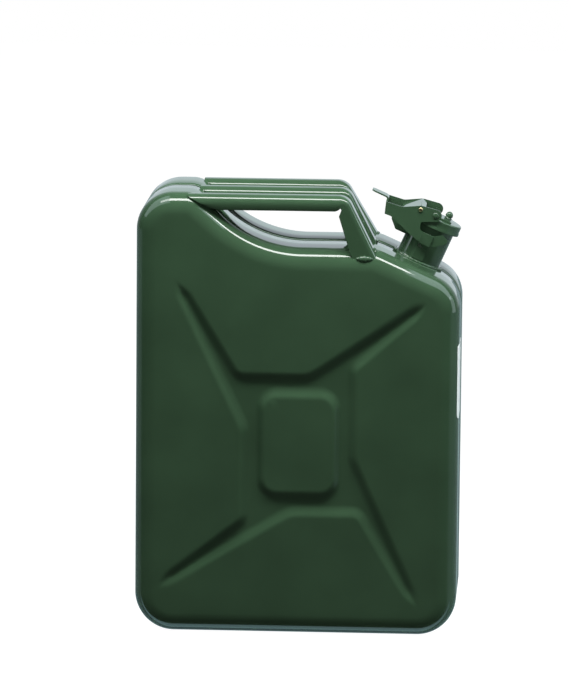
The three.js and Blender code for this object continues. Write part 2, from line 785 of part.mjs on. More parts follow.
// Plate on top of the cap, with an ear on each side for the lever's rivets, and its domed stud
function bracketPieces() {
  const low = capTop + SEAT_GAP;
  const high = low + BRACKET_PLATE;
  const front = BRACKET_LENGTH - BRACKET_TAIL;
  const plate = slab([
    at(-BRACKET_TAIL, low), at(front, low), at(front, high), at(-BRACKET_TAIL, high),
  ], -BRACKET_LENGTH / 2, BRACKET_LENGTH / 2);
  const step = slab([
    at(pivot.x - EAR_RADIUS, low), at(pivot.x + EAR_RADIUS, low),
    at(pivot.x + EAR_RADIUS, high), at(pivot.x - EAR_RADIUS, high),
  ], -earOutside, earOutside);
  let body = solid(plate).add(solid(step));
  for (const side of [-1, 1]) {
    const [near, far] = side < 0 ? [-earOutside, -earInside] : [earInside, earOutside];
    const ear = slab([
      at(pivot.x - EAR_RADIUS, low),
      at(pivot.x + EAR_RADIUS, low),
      ...pivotArc(EAR_RADIUS, 0, 180, 2 * CORNER_STEPS),
    ], near, far);
    const bore = slab(disc(pivot, RIVET_RADIUS + SEAT_GAP), near - EAR_THICKNESS, far + EAR_THICKNESS);
    body = body.add(solid(ear)).subtract(solid(bore));
  }
  const studFoot = high + SEAT_GAP;
  const waist = studFoot + STUD_FOOT_HEIGHT;
  const crown = waist + STUD_WAIST_HEIGHT + STUD_RADIUS - STUD_WAIST_RADIUS;
  const stud = turned([
    at(0, studFoot),
    at(STUD_RADIUS, studFoot),
    at(STUD_RADIUS, waist - STUD_RADIUS + STUD_WAIST_RADIUS),
    at(STUD_WAIST_RADIUS, waist),
    at(STUD_WAIST_RADIUS, waist + STUD_WAIST_HEIGHT),
    ...dome(STUD_RADIUS, crown, high + STUD_HEIGHT),
  ], SMALL_ROUND_STEPS).translate(STUD_OFFSET, 0, 0);
  return [mesh('cap_bracket', geometryOf(body), ENAMEL), mesh('cap_stud', stud, ENAMEL)];
}

// Loop of XZ points with corners { x, y, r }, measured from a place
function profile(place, corners) {
  return rounded(corners.map(([x, y, r = 0]) => ({
    p: at(place.x + x, place.y + y),
    r,
    n: CORNER_STEPS,
  })));
}

// Hinge arm: a channel under its top plate, cut to the cap's side
function hingeArm() {
  const root = -capRadius + 2 * ARM_WALL - hinge.x;
  const shoulder = -capRadius - ARM_WALL - hinge.x;
  const outside = slab([
    ...profile(hinge, [
      [root, KNUCKLE_RADIUS],
      [root, ARM_RISE],
      [shoulder, ARM_RISE, ARM_WALL],
      [-KNUCKLE_FLAT, KNUCKLE_RADIUS],
    ]),
    ...disc(hinge, KNUCKLE_RADIUS).slice(...KNUCKLE_TURNS.map((share) => share * SMALL_ROUND_STEPS)),
  ], -ARM_HALF_WIDTH, ARM_HALF_WIDTH);
  const inside = slab(profile(hinge, [
    [root + ARM_WALL, -2 * KNUCKLE_RADIUS],
    [root + ARM_WALL, ARM_RISE - ARM_WALL],
    [shoulder, ARM_RISE - ARM_WALL],
    [-KNUCKLE_RADIUS, KNUCKLE_RADIUS - 2 * ARM_WALL],
    [-2 * KNUCKLE_RADIUS, KNUCKLE_RADIUS - 2 * ARM_WALL],
    [-2 * KNUCKLE_RADIUS, -2 * KNUCKLE_RADIUS],
  ]), -ARM_HALF_WIDTH + ARM_WALL, ARM_HALF_WIDTH - ARM_WALL);
  const flareTop = capFoot + CAP_FLARE_HEIGHT;
  const capSpace = turned([
    at(0, 0),
    at(capRadius + CAP_FLARE + SEAT_GAP, 0),
    at(capRadius + CAP_FLARE + SEAT_GAP, capFoot + CAP_WALL + SEAT_GAP),
    at(capRadius + SEAT_GAP, flareTop + SEAT_GAP),
    at(capRadius + SEAT_GAP, 2 * capTop),
    at(0, 2 * capTop),
  ]);
  const bore = slab(disc(hinge, HINGE_PIN_RADIUS + SEAT_GAP), -capRadius, capRadius);
  const body = [inside, capSpace, bore].reduce((rest, cut) => rest.subtract(solid(cut)), solid(outside));
  return mesh('cap_hinge_arm', geometryOf(body), ENAMEL);
}

const lugInside = ARM_HALF_WIDTH + LEVER_CLEARANCE;
const lugOutside = lugInside + HINGE_LUG;

// Hinge bracket: a trough of two lugs and a bent floor, fitted to the neck, and its pin
function hingeBase() {
  const root = -NECK_RADIUS + NECK_WALL - hinge.x;
  const kneeX = HINGE_LUG_REACH - NECK_WALL;
  const outside = slab(profile(hinge, [
    [root, -HINGE_FOOT_DROP],
    [root, -HINGE_LUG],
    [HINGE_LUG_REACH, HINGE_LUG, HINGE_LUG],
    [HINGE_LUG, HINGE_LUG_REACH - HINGE_LUG / 2, HINGE_LUG],
    [-HINGE_LUG_REACH, HINGE_LUG_REACH - HINGE_LUG / 2, HINGE_LUG_REACH / 2],
    [-HINGE_LUG_REACH, -HINGE_LUG_REACH, HINGE_LUG],
    [kneeX - HINGE_LUG, -HINGE_FOOT_DROP, HINGE_LUG],
  ]), -lugOutside, lugOutside);
  const inside = slab(profile(hinge, [
    [root + HINGE_LUG, HINGE_LUG - HINGE_FOOT_DROP],
    [root + HINGE_LUG, 2 * HINGE_LUG_REACH],
    [-2 * HINGE_LUG_REACH, 2 * HINGE_LUG_REACH],
    [-2 * HINGE_LUG_REACH, HINGE_LUG - HINGE_LUG_REACH],
    [HINGE_LUG - HINGE_LUG_REACH, HINGE_LUG - HINGE_LUG_REACH],
    [kneeX - HINGE_LUG / 2, HINGE_LUG - HINGE_FOOT_DROP],
  ]), -lugInside, lugInside);
  const neckSpace = turned([
    at(0, 0), at(collarBore, 0), at(collarBore, NECK_HEIGHT), at(0, NECK_HEIGHT),
  ]);
  const bore = slab(disc(hinge, HINGE_PIN_RADIUS + SEAT_GAP), -capRadius, capRadius);
  const body = [inside, neckSpace, bore].reduce((rest, cut) => rest.subtract(solid(cut)), solid(outside));
  const headFoot = lugOutside + SEAT_GAP;
  const headTop = headFoot + HINGE_PIN_HEAD;
  const pin = crossPin([
    at(0, -headTop),
    at(HINGE_PIN_HEAD_RADIUS, -headTop),
    at(HINGE_PIN_HEAD_RADIUS, -headFoot),
    at(HINGE_PIN_RADIUS, -headFoot),
    at(HINGE_PIN_RADIUS, headFoot),
    at(HINGE_PIN_HEAD_RADIUS, headFoot),
    at(HINGE_PIN_HEAD_RADIUS, headTop),
    at(0, headTop),
  ], hinge.x, hinge.y);
  return [mesh('hinge_bracket', geometryOf(body), ENAMEL), mesh('hinge_pin', pin, ZINC)];
}

// Points on an arc about the lever's pivot, angles in degrees
function pivotArc(radius, from, to, steps) {
  return Array.from({ length: steps + 1 }, (_, i) => {
    const angle = radians(from + (to - from) * i / steps);
    return at(pivot.x + radius * Math.cos(angle), pivot.y + radius * Math.sin(angle));
  });
}

// Side plate of the lever: tail, crest, nose round the pivot, open mouth and jaw
function cheekOutline() {
  const jawFoot = MOUTH_RADIUS + JAW_DEPTH;
  const corner = (x, y, r) => ({ p: at(pivot.x + x, pivot.y + y), r, n: CORNER_STEPS });
  const sharp = (p) => ({ p, r: 0, n: 0 });
  return rounded([
    ...pivotArc(MOUTH_RADIUS, MOUTH_BACK_ANGLE, MOUTH_FRONT_ANGLE, 2 * CORNER_STEPS).map(sharp),
    { ...corner(JAW_REACH, -JAW_TIP_DROP, JAW_TIP_RADIUS), n: 2 * CORNER_STEPS },
    corner(JAW_FOOT_X, -jawFoot, JAW_DEPTH / 2),
    corner(-HEEL_X / 3, -jawFoot, JAW_DEPTH),
    corner(-HEEL_X, -HEEL_DROP, JAW_DEPTH),
    corner(-THROAT_X, -THROAT_DROP, JAW_DEPTH),
    corner(TAIL_LEAN - TAIL_REACH, -TAIL_TOP_DROP - TAIL_HEIGHT, CHEEK),
    corner(-TAIL_REACH, -TAIL_TOP_DROP, CHEEK),
    corner(-WEB_BACK, -WEB_BACK_DROP, JAW_DEPTH),
    corner(-CREST_X, CREST_RISE, JAW_DEPTH),
    ...pivotArc(NOSE_RADIUS, 90, -MOUTH_TOP_ANGLE, 2 * CORNER_STEPS).map(sharp),
    corner(-MOUTH_X, -MOUTH_DROP, MOUTH_END_RADIUS),
  ]);
}

// A strip of even thickness below a line of XZ points
function stripBelow(points, thickness) {
  const low = points.map((p) => at(p.x, p.y - thickness)).reverse();
  return [...low, ...points];
}

// Cam lever: two cheeks, the arched web between them, the tail web and its tongue
function lever() {
  const place = (x, y) => at(pivot.x + x, pivot.y + y);
  const outlinePoints = cheekOutline();
  const grip = cheekOutside - CHEEK / 3;
  const arch = slab(stripBelow([
    place(-WEB_BACK, -WEB_BACK_DROP - WEB_SINK),
    place(-CREST_X - WEB_RUN, -WEB_MIDDLE_DROP),
    place(-CREST_X, CREST_RISE),
    place(-WEB_FRONT, CREST_RISE - CHEEK / 2),
  ].reverse(), WEB_THICKNESS), -grip, grip);
  const tailWeb = slab([
    place(-TAIL_REACH, -TAIL_TOP_DROP),
    place(TAIL_LEAN - TAIL_REACH, -TAIL_TOP_DROP - TAIL_HEIGHT),
    place(TAIL_LEAN - TAIL_REACH + CHEEK, -TAIL_TOP_DROP - TAIL_HEIGHT),
    place(-TAIL_REACH + CHEEK, -TAIL_TOP_DROP),
  ], -grip, grip);
  const tongueTop = -TAIL_TOP_DROP + CHEEK / 2 + TONGUE_RISE;
  const bend = TONGUE_RADIUS;
  const tongueSide = slab(profile(pivot, [
    [-TAIL_REACH - TONGUE_LENGTH, tongueTop],
    [-TAIL_REACH - TONGUE_LENGTH, tongueTop - CHEEK],
    [-TAIL_REACH, tongueTop - CHEEK, bend],
    [-TAIL_REACH + TAIL_LEAN / 2, tongueTop - TAIL_HEIGHT / 2],
    [-TAIL_REACH + TAIL_LEAN / 2 + CHEEK, tongueTop - TAIL_HEIGHT / 2],
    [-TAIL_REACH + CHEEK, tongueTop, bend + CHEEK],
  ]), -TONGUE_WIDTH / 2, TONGUE_WIDTH / 2);
  const tongueHalf = TONGUE_WIDTH / 2;
  const tongueEnd = pivot.x - TAIL_REACH - TONGUE_LENGTH;
  const plan = new THREE.ExtrudeGeometry(new THREE.Shape(rounded([
    { p: at(tongueEnd, -tongueHalf), r: tongueHalf / 2, n: 2 * CORNER_STEPS },
    { p: at(pivot.x, -tongueHalf), r: 0, n: 0 },
    { p: at(pivot.x, tongueHalf), r: 0, n: 0 },
    { p: at(tongueEnd, tongueHalf), r: tongueHalf / 2, n: 2 * CORNER_STEPS },
  ])), { depth: 2 * pivot.y, bevelEnabled: false });
  const tongue = solid(tongueSide).intersect(solid(plan));
  const cheeks = [[-cheekOutside, -cheekInside], [cheekInside, cheekOutside]]
    .map(([low, high]) => solid(slab(outlinePoints, low, high)));
  const joined = [...cheeks, solid(arch), solid(tailWeb)].reduce((rest, piece) => rest.add(piece), tongue);
  const bores = [[pivot, RIVET_RADIUS], [pinPlace, PIN_RADIUS]].map(([centre, radius]) => (
    solid(slab(disc(centre, radius + SEAT_GAP), -2 * cheekOutside, 2 * cheekOutside))
  ));
  const body = bores.reduce((rest, bore) => rest.subtract(bore), joined);
  return mesh('lever', geometryOf(body), ENAMEL);
}

// Rivets that carry the lever on the bracket's ears
function rivets() {
  const tail = earInside - EAR_THICKNESS / 2;
  const head = cheekOutside + SEAT_GAP;
  const rear = crossPin([
    at(0, tail),
    at(RIVET_RADIUS, tail),
    at(RIVET_RADIUS, head),
    ...dome(RIVET_HEAD_RADIUS, head, head + RIVET_HEAD_HEIGHT),
  ], pivot.x, pivot.y);
  return [mesh('front_lever_rivet', mirrored(rear), ENAMEL), mesh('rear_lever_rivet', rear, ENAMEL)];
}

// Locking pin through both cheeks, with a domed head at the front
function lockingPin() {
  const head = -cheekOutside - SEAT_GAP;
  const tip = cheekOutside + PIN_TIP;
  const pin = crossPin([
    ...dome(PIN_HEAD_RADIUS, head, head - PIN_HEAD_HEIGHT).reverse(),
    at(PIN_RADIUS, head),
    at(PIN_RADIUS, tip - PIN_RADIUS),
    at(PIN_RADIUS / 2, tip),
    at(0, tip),
  ], pinPlace.x, pinPlace.y);
  return mesh('locking_pin', pin, BRASS);
}

// Keeper straps: welded to the neck, joggled outwards so that the jaws pass behind them
function straps() {
  const foot = COLLAR_HEIGHT + SEAT_GAP;
  const joggleTop = pivot.y - MOUTH_RADIUS - JAW_DEPTH - 2 * SEAT_GAP;
  const joggleFoot = joggleTop - STRAP_JOGGLE;
  const top = joggleTop + STRAP_COVER;
  const inside = cheekOutside + STRAP_CLEARANCE;
  const lower = collarBore + STRAP;
  const rear = bar([
    at(neckBore, foot),
    at(lower, foot),
    at(lower, joggleFoot - STRAP / 2),
    at(inside + STRAP, joggleTop - STRAP / 2),
    at(inside + STRAP, top),
    at(inside, top),
    at(inside, joggleTop),
    at(collarBore, joggleFoot),
    at(neckBore, joggleFoot),
  ], -STRAP_BACK, STRAP_FRONT);
  const neckSpace = turned([
    at(0, 0), at(collarBore, 0), at(collarBore, NECK_HEIGHT), at(0, NECK_HEIGHT),
  ]);
  const geometry = geometryOf(solid(rear).subtract(solid(neckSpace)));
  return [
    mesh('front_keeper_strap', mirrored(geometry), ENAMEL),
    mesh('rear_keeper_strap', geometry, ENAMEL),
  ];
}

// Breather tube: down inside the neck, along under the deck and up into the hump
function breather() {
  const inNeck = -(neckBore - BREATHER_GAP - BREATHER_RADIUS);
  const below = GUTTER_DEPTH + SHEET + SEAT_GAP + BREATHER_RADIUS;
  const deckLine = deckHeight - below;
  const path = new THREE.CatmullRomCurve3([
    fromNeck(inNeck, BREATHER_TOP),
    fromNeck(inNeck, 0),
    fromNeck(inNeck, -NECK_DEPTH),
    fromNeck(inNeck - 2 * BREATHER_RADIUS, -NECK_DEPTH - 4 * BREATHER_RADIUS),
    fromNeck(-neckHole - 2 * below, -2 * below),
    new THREE.Vector3(dipFoot + HUMP_WIDTH, 0, deckLine - BREATHER_RADIUS),
    new THREE.Vector3(dipFoot, 0, deckLine),
    new THREE.Vector3(humpEnd, 0, CAN_HEIGHT - 2 * below),
  ]);
  const section = new THREE.Shape().absarc(0, 0, BREATHER_RADIUS, 0, 2 * Math.PI);
  section.holes.push(new THREE.Path().absarc(0, 0, BREATHER_RADIUS - BREATHER_WALL, 0, 2 * Math.PI));
  const geometry = new THREE.ExtrudeGeometry(section, {
    extrudePath: path,
    steps: BREATHER_STEP_COUNT,
    curveSegments: BREATHER_SIDE_COUNT,
  });
  return mesh('breather_tube', geometry, ENAMEL);
}

const group = new THREE.Group();
group.add(...shells(), ...handles(), breather(), closure);
closure.add(...neckPieces(), ...straps(), ...hingeBase());
closure.add(...capPieces(), ...bracketPieces(), hingeArm());
closure.add(lever(), ...rivets(), lockingPin());

export default group;
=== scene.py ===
"""Enamelled steel fuel can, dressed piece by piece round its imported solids.

Lengths in this file are millimetres until a mesh is made; the mesh and the frame are in metres.
+Z is up, +X points to the spout side and -Y to the front shell.
"""

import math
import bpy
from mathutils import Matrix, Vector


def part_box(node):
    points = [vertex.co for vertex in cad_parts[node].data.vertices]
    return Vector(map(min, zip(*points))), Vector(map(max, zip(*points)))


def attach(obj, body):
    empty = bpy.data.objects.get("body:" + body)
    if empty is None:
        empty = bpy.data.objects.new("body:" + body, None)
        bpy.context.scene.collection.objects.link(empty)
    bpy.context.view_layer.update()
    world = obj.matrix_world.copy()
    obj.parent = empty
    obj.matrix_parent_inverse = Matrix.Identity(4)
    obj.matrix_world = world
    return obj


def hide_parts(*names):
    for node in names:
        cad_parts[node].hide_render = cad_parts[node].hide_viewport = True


bl_info = {
    "name": "Steel fuel can",
    "version": (1, 0, 0),
    "blender": (4, 5, 0),
    "location": "View3D > Sidebar > Fuel can",
    "description": "Builds the pressed shells, handles and cam-lever closure of a steel fuel can",
    "category": "Object",
}

import bmesh
import bpy
import numpy as np
from mathutils import Matrix, Vector

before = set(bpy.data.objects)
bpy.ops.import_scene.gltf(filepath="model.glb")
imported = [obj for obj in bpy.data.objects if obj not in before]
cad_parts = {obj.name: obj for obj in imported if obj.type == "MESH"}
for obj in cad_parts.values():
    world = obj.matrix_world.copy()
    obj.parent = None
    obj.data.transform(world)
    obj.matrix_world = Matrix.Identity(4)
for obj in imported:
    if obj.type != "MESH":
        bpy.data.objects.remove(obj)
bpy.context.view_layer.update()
shell_low, shell_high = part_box("front_shell")

MM = 0.001
SMOOTH_ANGLE = math.radians(38)
TUBE_GUIDE = np.array([0.31, 0.42, 0.85])

# Outline of the shells, seen from the front
OUTLINE_STEPS = 640
BASE_RADIUS = 42
SPOUT_SIDE_RADIUS = 40
HUMP_RADIUS = 40
HUMP_WIDTH = 62
HUMP_EDGE_RADIUS = 28
DIP_ANGLE = math.radians(40)
DIP_RADIUS = 129
DECK_DROP = 58
SHOULDER_WIDTH = 90
SHOULDER_ANGLE = math.radians(24)
SHOULDER_RADIUS = 30

# Section of a shell from the panel to the seam
SHEET = 0.9
GUTTER_HALF_WIDTH = 10
GUTTER_DEPTH = 6
GUTTER_FLOOR_HALF = 3
FLANGE_RISE = 4.5
FLANGE_THICKNESS = 1.1
FLANGE_FILLET = 0.6
SEAM_GAP = 0.3
SEAM_BEAD_RISE = 0.9
SEAM_BEAD_LIFT = 0.5

# Pressed cross and pad
PAD_X = 2.5
PAD_DROP = 1.5
PAD_WIDTH = 90
PAD_HEIGHT = 124
PAD_BASE_RADIUS = 24
PAD_SIDE_RUN = 8
PAD_END_RUN = 12
PAD_RADIUS = 14
MOAT_X = 18
MOAT_Z = 15.8
ROOT_OUT = 20
NEAR_ROOT_BACK = 8.4
FAR_ROOT_BACK = 3.1
ARM_ROOT_WIDTH = 29
ARM_TIP_WIDTH = 16
ARM_FADE = 12
ARM_END_WIDTH = 4
FIELD_NEAR_RADIUS = 9
FIELD_FAR_RADIUS = 24
HUMP_ARM = (52, 108)
LOW_ARM = (38, 60)
SPOUT_LOW_ARM = (50, 48)
SPOUT_ARM = (46, 65)

# Rings of a panel: their numbers as shares, and how far out from its middle each lies
PANEL_RINGS = 84
RING_SHARES = (0, 0.06, 0.86, 0.97, 1.0)
RING_PLACES = (0.03, 0.2, 0.75, 0.95, 1.0)

# Handles
HANDLE_WIDTH = 27
HANDLE_WALL = 1.5
HANDLE_EDGE_INSET = 4
HANDLE_DROP = 1
HANDLE_HEIGHT = 16
HANDLE_END_HEIGHT = 2.2
HANDLE_CROWN = (11, 9.5)
HANDLE_TUCK = 1.2
HANDLE_NOTCH_HEIGHT = 6.7
HANDLE_LEG_CORNER = 6
HANDLE_LEG_TOP = 17
HANDLE_LEG_FOOT = 23.5
HANDLE_SINK = 0.62
HANDLE_BENDS = {
    "front_handle": {"lean": math.radians(26.5), "foot_inset": 92, "radius": 16, "lap": 7},
    "middle_handle": {"lean": math.radians(27.5), "foot_inset": 92, "radius": 16, "lap": -2},
    "rear_handle": {"lean": math.radians(31), "foot_inset": 93, "radius": 18, "lap": -2},
}

# Neck and cap, in the neck's own frame
NECK_INSET = 47.2
NECK_RADIUS = 24
NECK_BORE = 22.6
NECK_HEIGHT = 46.4
NECK_DEPTH = 7
NECK_LIP = 25.2
NECK_LIP_DROP = 3.4
NECK_HOLE = 26
NECK_HOLE_REACH = 20
COLLAR_BORE = 24.3
COLLAR_SLEEVE = 25.7
COLLAR_FLANGE = 27.1
COLLAR_HEIGHT = 2.4
COLLAR_FILLET = 1.5
CAP_RADIUS = 28.2
CAP_BORE = 27.3
CAP_FLARE = 0.8
CAP_FOOT = 40
CAP_FLARE_HEIGHT = 3.4
CAP_EDGE_RADIUS = 1.5
CAP_TOP = 50.8
CAP_CEILING = 49.9
SEAL_RADIUS = 27
SEAL_BORE = 15
SEAL_FLOOR = 46.7
SEAL_TOP = 49.6
SEAL_EDGE = 0.5
STUD_OFFSET = 11
STUD_RADIUS = 4
STUD_WAIST = 3.3
STUD_FOOT = 52.9
STUD_TOP = 61.1
STUD_NECK = 3.6
CAP_POLE = 0.4
STUD_POLE = 0.3

# Weld beads: sizes as shares of the weld radius, and ripples as size, waves a millimetre, seed
SIDE_WELD = 2
FACE_WELD = 0.9
FACE_WELD_SPAN = (-0.5, 0.4)
SIDE_WELD_STOP = 5
COLLAR_WELD = 0.75
WELD_LIFT = 0.4
WELD_RIPPLES = ((0.08, 0.7, 1), (0.06, 0.31, 2))

# Blank sticker on the spout side
STICKER_FOOT = 236
STICKER_TOP = 316
STICKER_EDGE = 69
STICKER_WIDTH = 57
STICKER_CORNER = 4.0
STICKER_LIFT = 0.2
STICKER_SHEET = 0.17

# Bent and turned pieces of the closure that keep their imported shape
SHEET_SHARP = math.radians(40)
PIN_SHARP = math.radians(50)
MERGE_DISTANCE = 2e-6
FLAT_ANGLE = math.radians(1)
BENT_PIECES = {
    "can": ["hinge_bracket", "front_keeper_strap", "rear_keeper_strap", "breather_tube"],
    "cap": ["cap_bracket", "cap_hinge_arm"],
    "lever": ["lever"],
}
TURNED_PINS = {
    "can": {"hinge_pin": "zinc"},
    "cap": {"front_lever_rivet": "enamel", "rear_lever_rivet": "enamel"},
    "pin": {"locking_pin": "brass"},
}

# Camera, fitted to the can's edges: turns, metres, and lengths in pixels of the frame
CAMERA_YAW = math.radians(2.868)
CAMERA_PITCH = math.radians(9.625)
CAMERA_ROLL = math.radians(0.531)
CAMERA_DISTANCE = 6.0
CAMERA_TARGET = Vector((0, 0, 0.235))
FRAME_PIXELS = 700
FOCAL_PIXELS = 5558.9
AIM_LEFT = 14.435
AIM_UP = 56.371
SENSOR = 36

# Stage, in metres
FLOOR_REACH = 4
FLOOR_BACK = 6
CARD_LIFT = 4e-4
CARD_HALF = 0.3
CARD_START = 0.002
CARD_CHANGE = 0.0095
CARD_SLANT = 1.5

# Brightness of the room: along each axis of the direction, from where to where, and the levels there
ROOM_COLOUR = (0.88, 0.99, 1.07, 1)
ROOM_LEVELS = {
    "Y": (0.3, 0.95, 0.04, 1.0),
    "X": (-0.7, 0.3, 0.5, 1.0),
    "Z": (0.62, 0.66, 1.0, 0.4),
}

# Lamps: place, what each faces, size, watts, colour, and whether gloss shows it
WHITE = (1, 1, 1)
PALE = (0.8, 0.97, 1.0)
TEAL = (0.55, 0.9, 1.0)
LAMPS = {
    "key_light": ((0.1, -0.75, 2.0), (0, 0, 0.3), (2.2, 0.4), 78, WHITE, False),
    "front_fill": ((0.2, -2.6, 0.9), (0, 0, 0.22), (1.6, 1.6), 27, WHITE, False),
    "top_strip": ((0.06, -0.148, 0.85), (0.06, -0.075, 0.42), (0.56, 0.0975), 3.2, WHITE, True),
    "strip_end": ((-0.3, -0.148, 0.85), (-0.3, -0.075, 0.42), (0.16, 0.0975), 0.4, WHITE, True),
    "spout_panel": ((1.32, -0.15, 1.06), (1.32, -0.15, 0), (1.76, 0.6), 11, PALE, True),
    "side_panel": ((1.7, 0.0, 0.62), (0, 0, 0.62), (0.7, 0.9), 4, PALE, True),
    "hump_panel": ((-1.23, -0.15, 1.06), (-1.23, -0.15, 0), (1.94, 0.6), 8, PALE, True),
}


class FuelCanSizes(bpy.types.PropertyGroup):
    """Sizes of the can that can be changed before its pieces are made"""

    width: bpy.props.FloatProperty(
        name="Width", description="Across the can, seen from the front",
        default=shell_high.x - shell_low.x, min=0.2, max=0.6, unit="LENGTH")
    depth: bpy.props.FloatProperty(
        name="Depth", description="From the front panel to the rear panel",
        default=-2 * shell_low.y, min=0.1, max=0.3, unit="LENGTH")
    height: bpy.props.FloatProperty(
        name="Height", description="From the base to the top of the hump",
        default=shell_high.z, min=0.3, max=0.8, unit="LENGTH")
    edge_radius: bpy.props.FloatProperty(
        name="Edge radius", description="Rounding between a panel and the side wall",
        default=0.022, min=0.01, max=0.03, unit="LENGTH")
    press_depth: bpy.props.FloatProperty(
        name="Press depth", description="How deep the cross is pressed into the panels",
        default=0.006, min=0.0, max=0.006, unit="LENGTH")
    press_run: bpy.props.FloatProperty(
        name="Press run", description="Width of the slope from the panel to the cross's floor",
        default=0.0115, min=0.003, max=0.02, unit="LENGTH")
    weld_radius: bpy.props.FloatProperty(
        name="Weld radius", description="Radius of the weld beads at the handles and the neck",
        default=0.0018, min=0.0005, max=0.004, unit="LENGTH")
    sheet_bevel: bpy.props.FloatProperty(
        name="Sheet edge", description="Rounding on the edges of the bent-sheet pieces",
        default=0.00035, min=0.0, max=0.001, unit="LENGTH")


class FuelCanFinish(bpy.types.PropertyGroup):
    """Colours of the can's finishes"""

    enamel: bpy.props.FloatVectorProperty(
        name="Enamel", description="Colour of the enamel on all steel pieces",
        default=(0.0215, 0.045, 0.0235), min=0.0, max=1.0, subtype="COLOR")
    rubber: bpy.props.FloatVectorProperty(
        name="Rubber", description="Colour of the cap's seal",
        default=(0.016, 0.016, 0.015), min=0.0, max=1.0, subtype="COLOR")
    brass: bpy.props.FloatVectorProperty(
        name="Brass", description="Colour of the locking pin",
        default=(0.62, 0.52, 0.3), min=0.0, max=1.0, subtype="COLOR")
    zinc: bpy.props.FloatVectorProperty(
        name="Zinc", description="Colour of the plated hinge pin",
        default=(0.55, 0.56, 0.55), min=0.0, max=1.0, subtype="COLOR")
    paper: bpy.props.FloatVectorProperty(
        name="Paper", description="Colour of the blank sticker",
        default=(0.6, 0.62, 0.62), min=0.0, max=1.0, subtype="COLOR")


def unit(vectors):
    """Vectors of length 1 in the same directions."""
    return vectors / np.linalg.norm(vectors, axis=-1, keepdims=True)


def extents(sizes):
    """Half the can's width, its top and the height of its deck, in millimetres."""
    top = sizes.height / MM
    return sizes.width / MM / 2, top, top - DECK_DROP


def rounded(corners, radii, steps):
    """Points and outward normals of a closed anticlockwise polygon with rounded corners.

    A corner that turns by t gets an arc of radius r that starts r tan(|t| / 2) before it. The
    normal n turns evenly through t, and the arc's points are centre + sign(t) r n.
    """
    corners = np.asarray(corners, float)
    radii = np.asarray(radii, float)
    along = unit(np.roll(corners, -1, 0) - corners)
    heading = np.arctan2(along[:, 1], along[:, 0])
    before = np.roll(heading, 1)
    turn = (heading - before + math.pi) % (2 * math.pi) - math.pi
    side = (np.sign(turn) * radii)[:, None]
    start = corners - np.roll(along, 1, 0) * (radii * np.tan(np.abs(turn) / 2))[:, None]
    angle = before[:, None] + turn[:, None] * np.linspace(0, 1, steps + 1) - math.pi / 2
    normals = np.stack([np.cos(angle), np.sin(angle)], -1)
    centre = start - side * normals[:, 0]
    points = centre[:, None] + side[:, None] * normals
    return points.reshape(-1, 2), normals.reshape(-1, 2)


def can_outline(sizes):
    """Outline of the can, seen from the front, as evenly spaced points and outward normals.

    Seven straights with rounded corners: base, spout side, shoulder, deck, dip, hump and handle
    side. Places are read off the rounded line at even steps of its length.
    """
    half, top, deck = extents(sizes)
    deck_end = half - SHOULDER_WIDTH
    hump_end = HUMP_WIDTH - half
    corners = [
        (-half, 0),
        (half, 0),
        (half, deck - SHOULDER_WIDTH * math.tan(SHOULDER_ANGLE)),
        (deck_end, deck),
        (hump_end + DECK_DROP / math.tan(DIP_ANGLE), deck),
        (hump_end, top),
        (-half, top),
    ]
    radii = [BASE_RADIUS, BASE_RADIUS, SPOUT_SIDE_RADIUS, SHOULDER_RADIUS, DIP_RADIUS,
             HUMP_EDGE_RADIUS, HUMP_RADIUS]
    points, normals = rounded(corners, radii, 80)
    closed = np.concatenate([points, points[:1]])
    turned_round = np.concatenate([normals, normals[:1]])
    length = np.concatenate([[0], np.cumsum(np.linalg.norm(np.diff(closed, axis=0), axis=1))])
    places = np.linspace(0, length[-1], OUTLINE_STEPS, endpoint=False)
    even = np.stack([np.interp(places, length, closed[:, k]) for k in (0, 1)], -1)
    outward = np.stack([np.interp(places, length, turned_round[:, k]) for k in (0, 1)], -1)
    return even, unit(outward)


def inside_distance(points, polygon):
    """Distance of points from a polygon's edge, positive inside it and negative outside.

    The least distance to any edge, with the sign from the number of edges that a ray towards +X
    crosses.
    """
    edge = np.roll(polygon, -1, 0) - polygon
    keep = (edge ** 2).sum(1) > 1e-9
    start, edge = polygon[keep], edge[keep]
    away = points[:, None] - start
    share = np.clip((away * edge).sum(-1) / (edge ** 2).sum(-1), 0, 1)
    gap = np.linalg.norm(away - share[..., None] * edge, axis=-1).min(1)
    level = points[:, None, 1]
    spans = (start[:, 1] > level) != (start[:, 1] + edge[:, 1] > level)
    rise = np.where(edge[:, 1] == 0, 1, edge[:, 1])
    ahead = start[:, 0] + (level - start[:, 1]) * edge[:, 0] / rise > points[:, None, 0]
    return np.where((spans & ahead).sum(1) % 2, gap, -gap)


def ease(share):
    """Smooth step from 0 to 1: t t (3 - 2 t), with t held between 0 and 1."""
    held = np.clip(share, 0, 1)
    return held * held * (3 - 2 * held)


def line_crossing(p, u, q, v):
    """Point where the line from p along u meets the line from q along v."""
    away = q - p
    step = (away[0] * v[1] - away[1] * v[0]) / (u[0] * v[1] - u[1] * v[0])
    return p + step * u


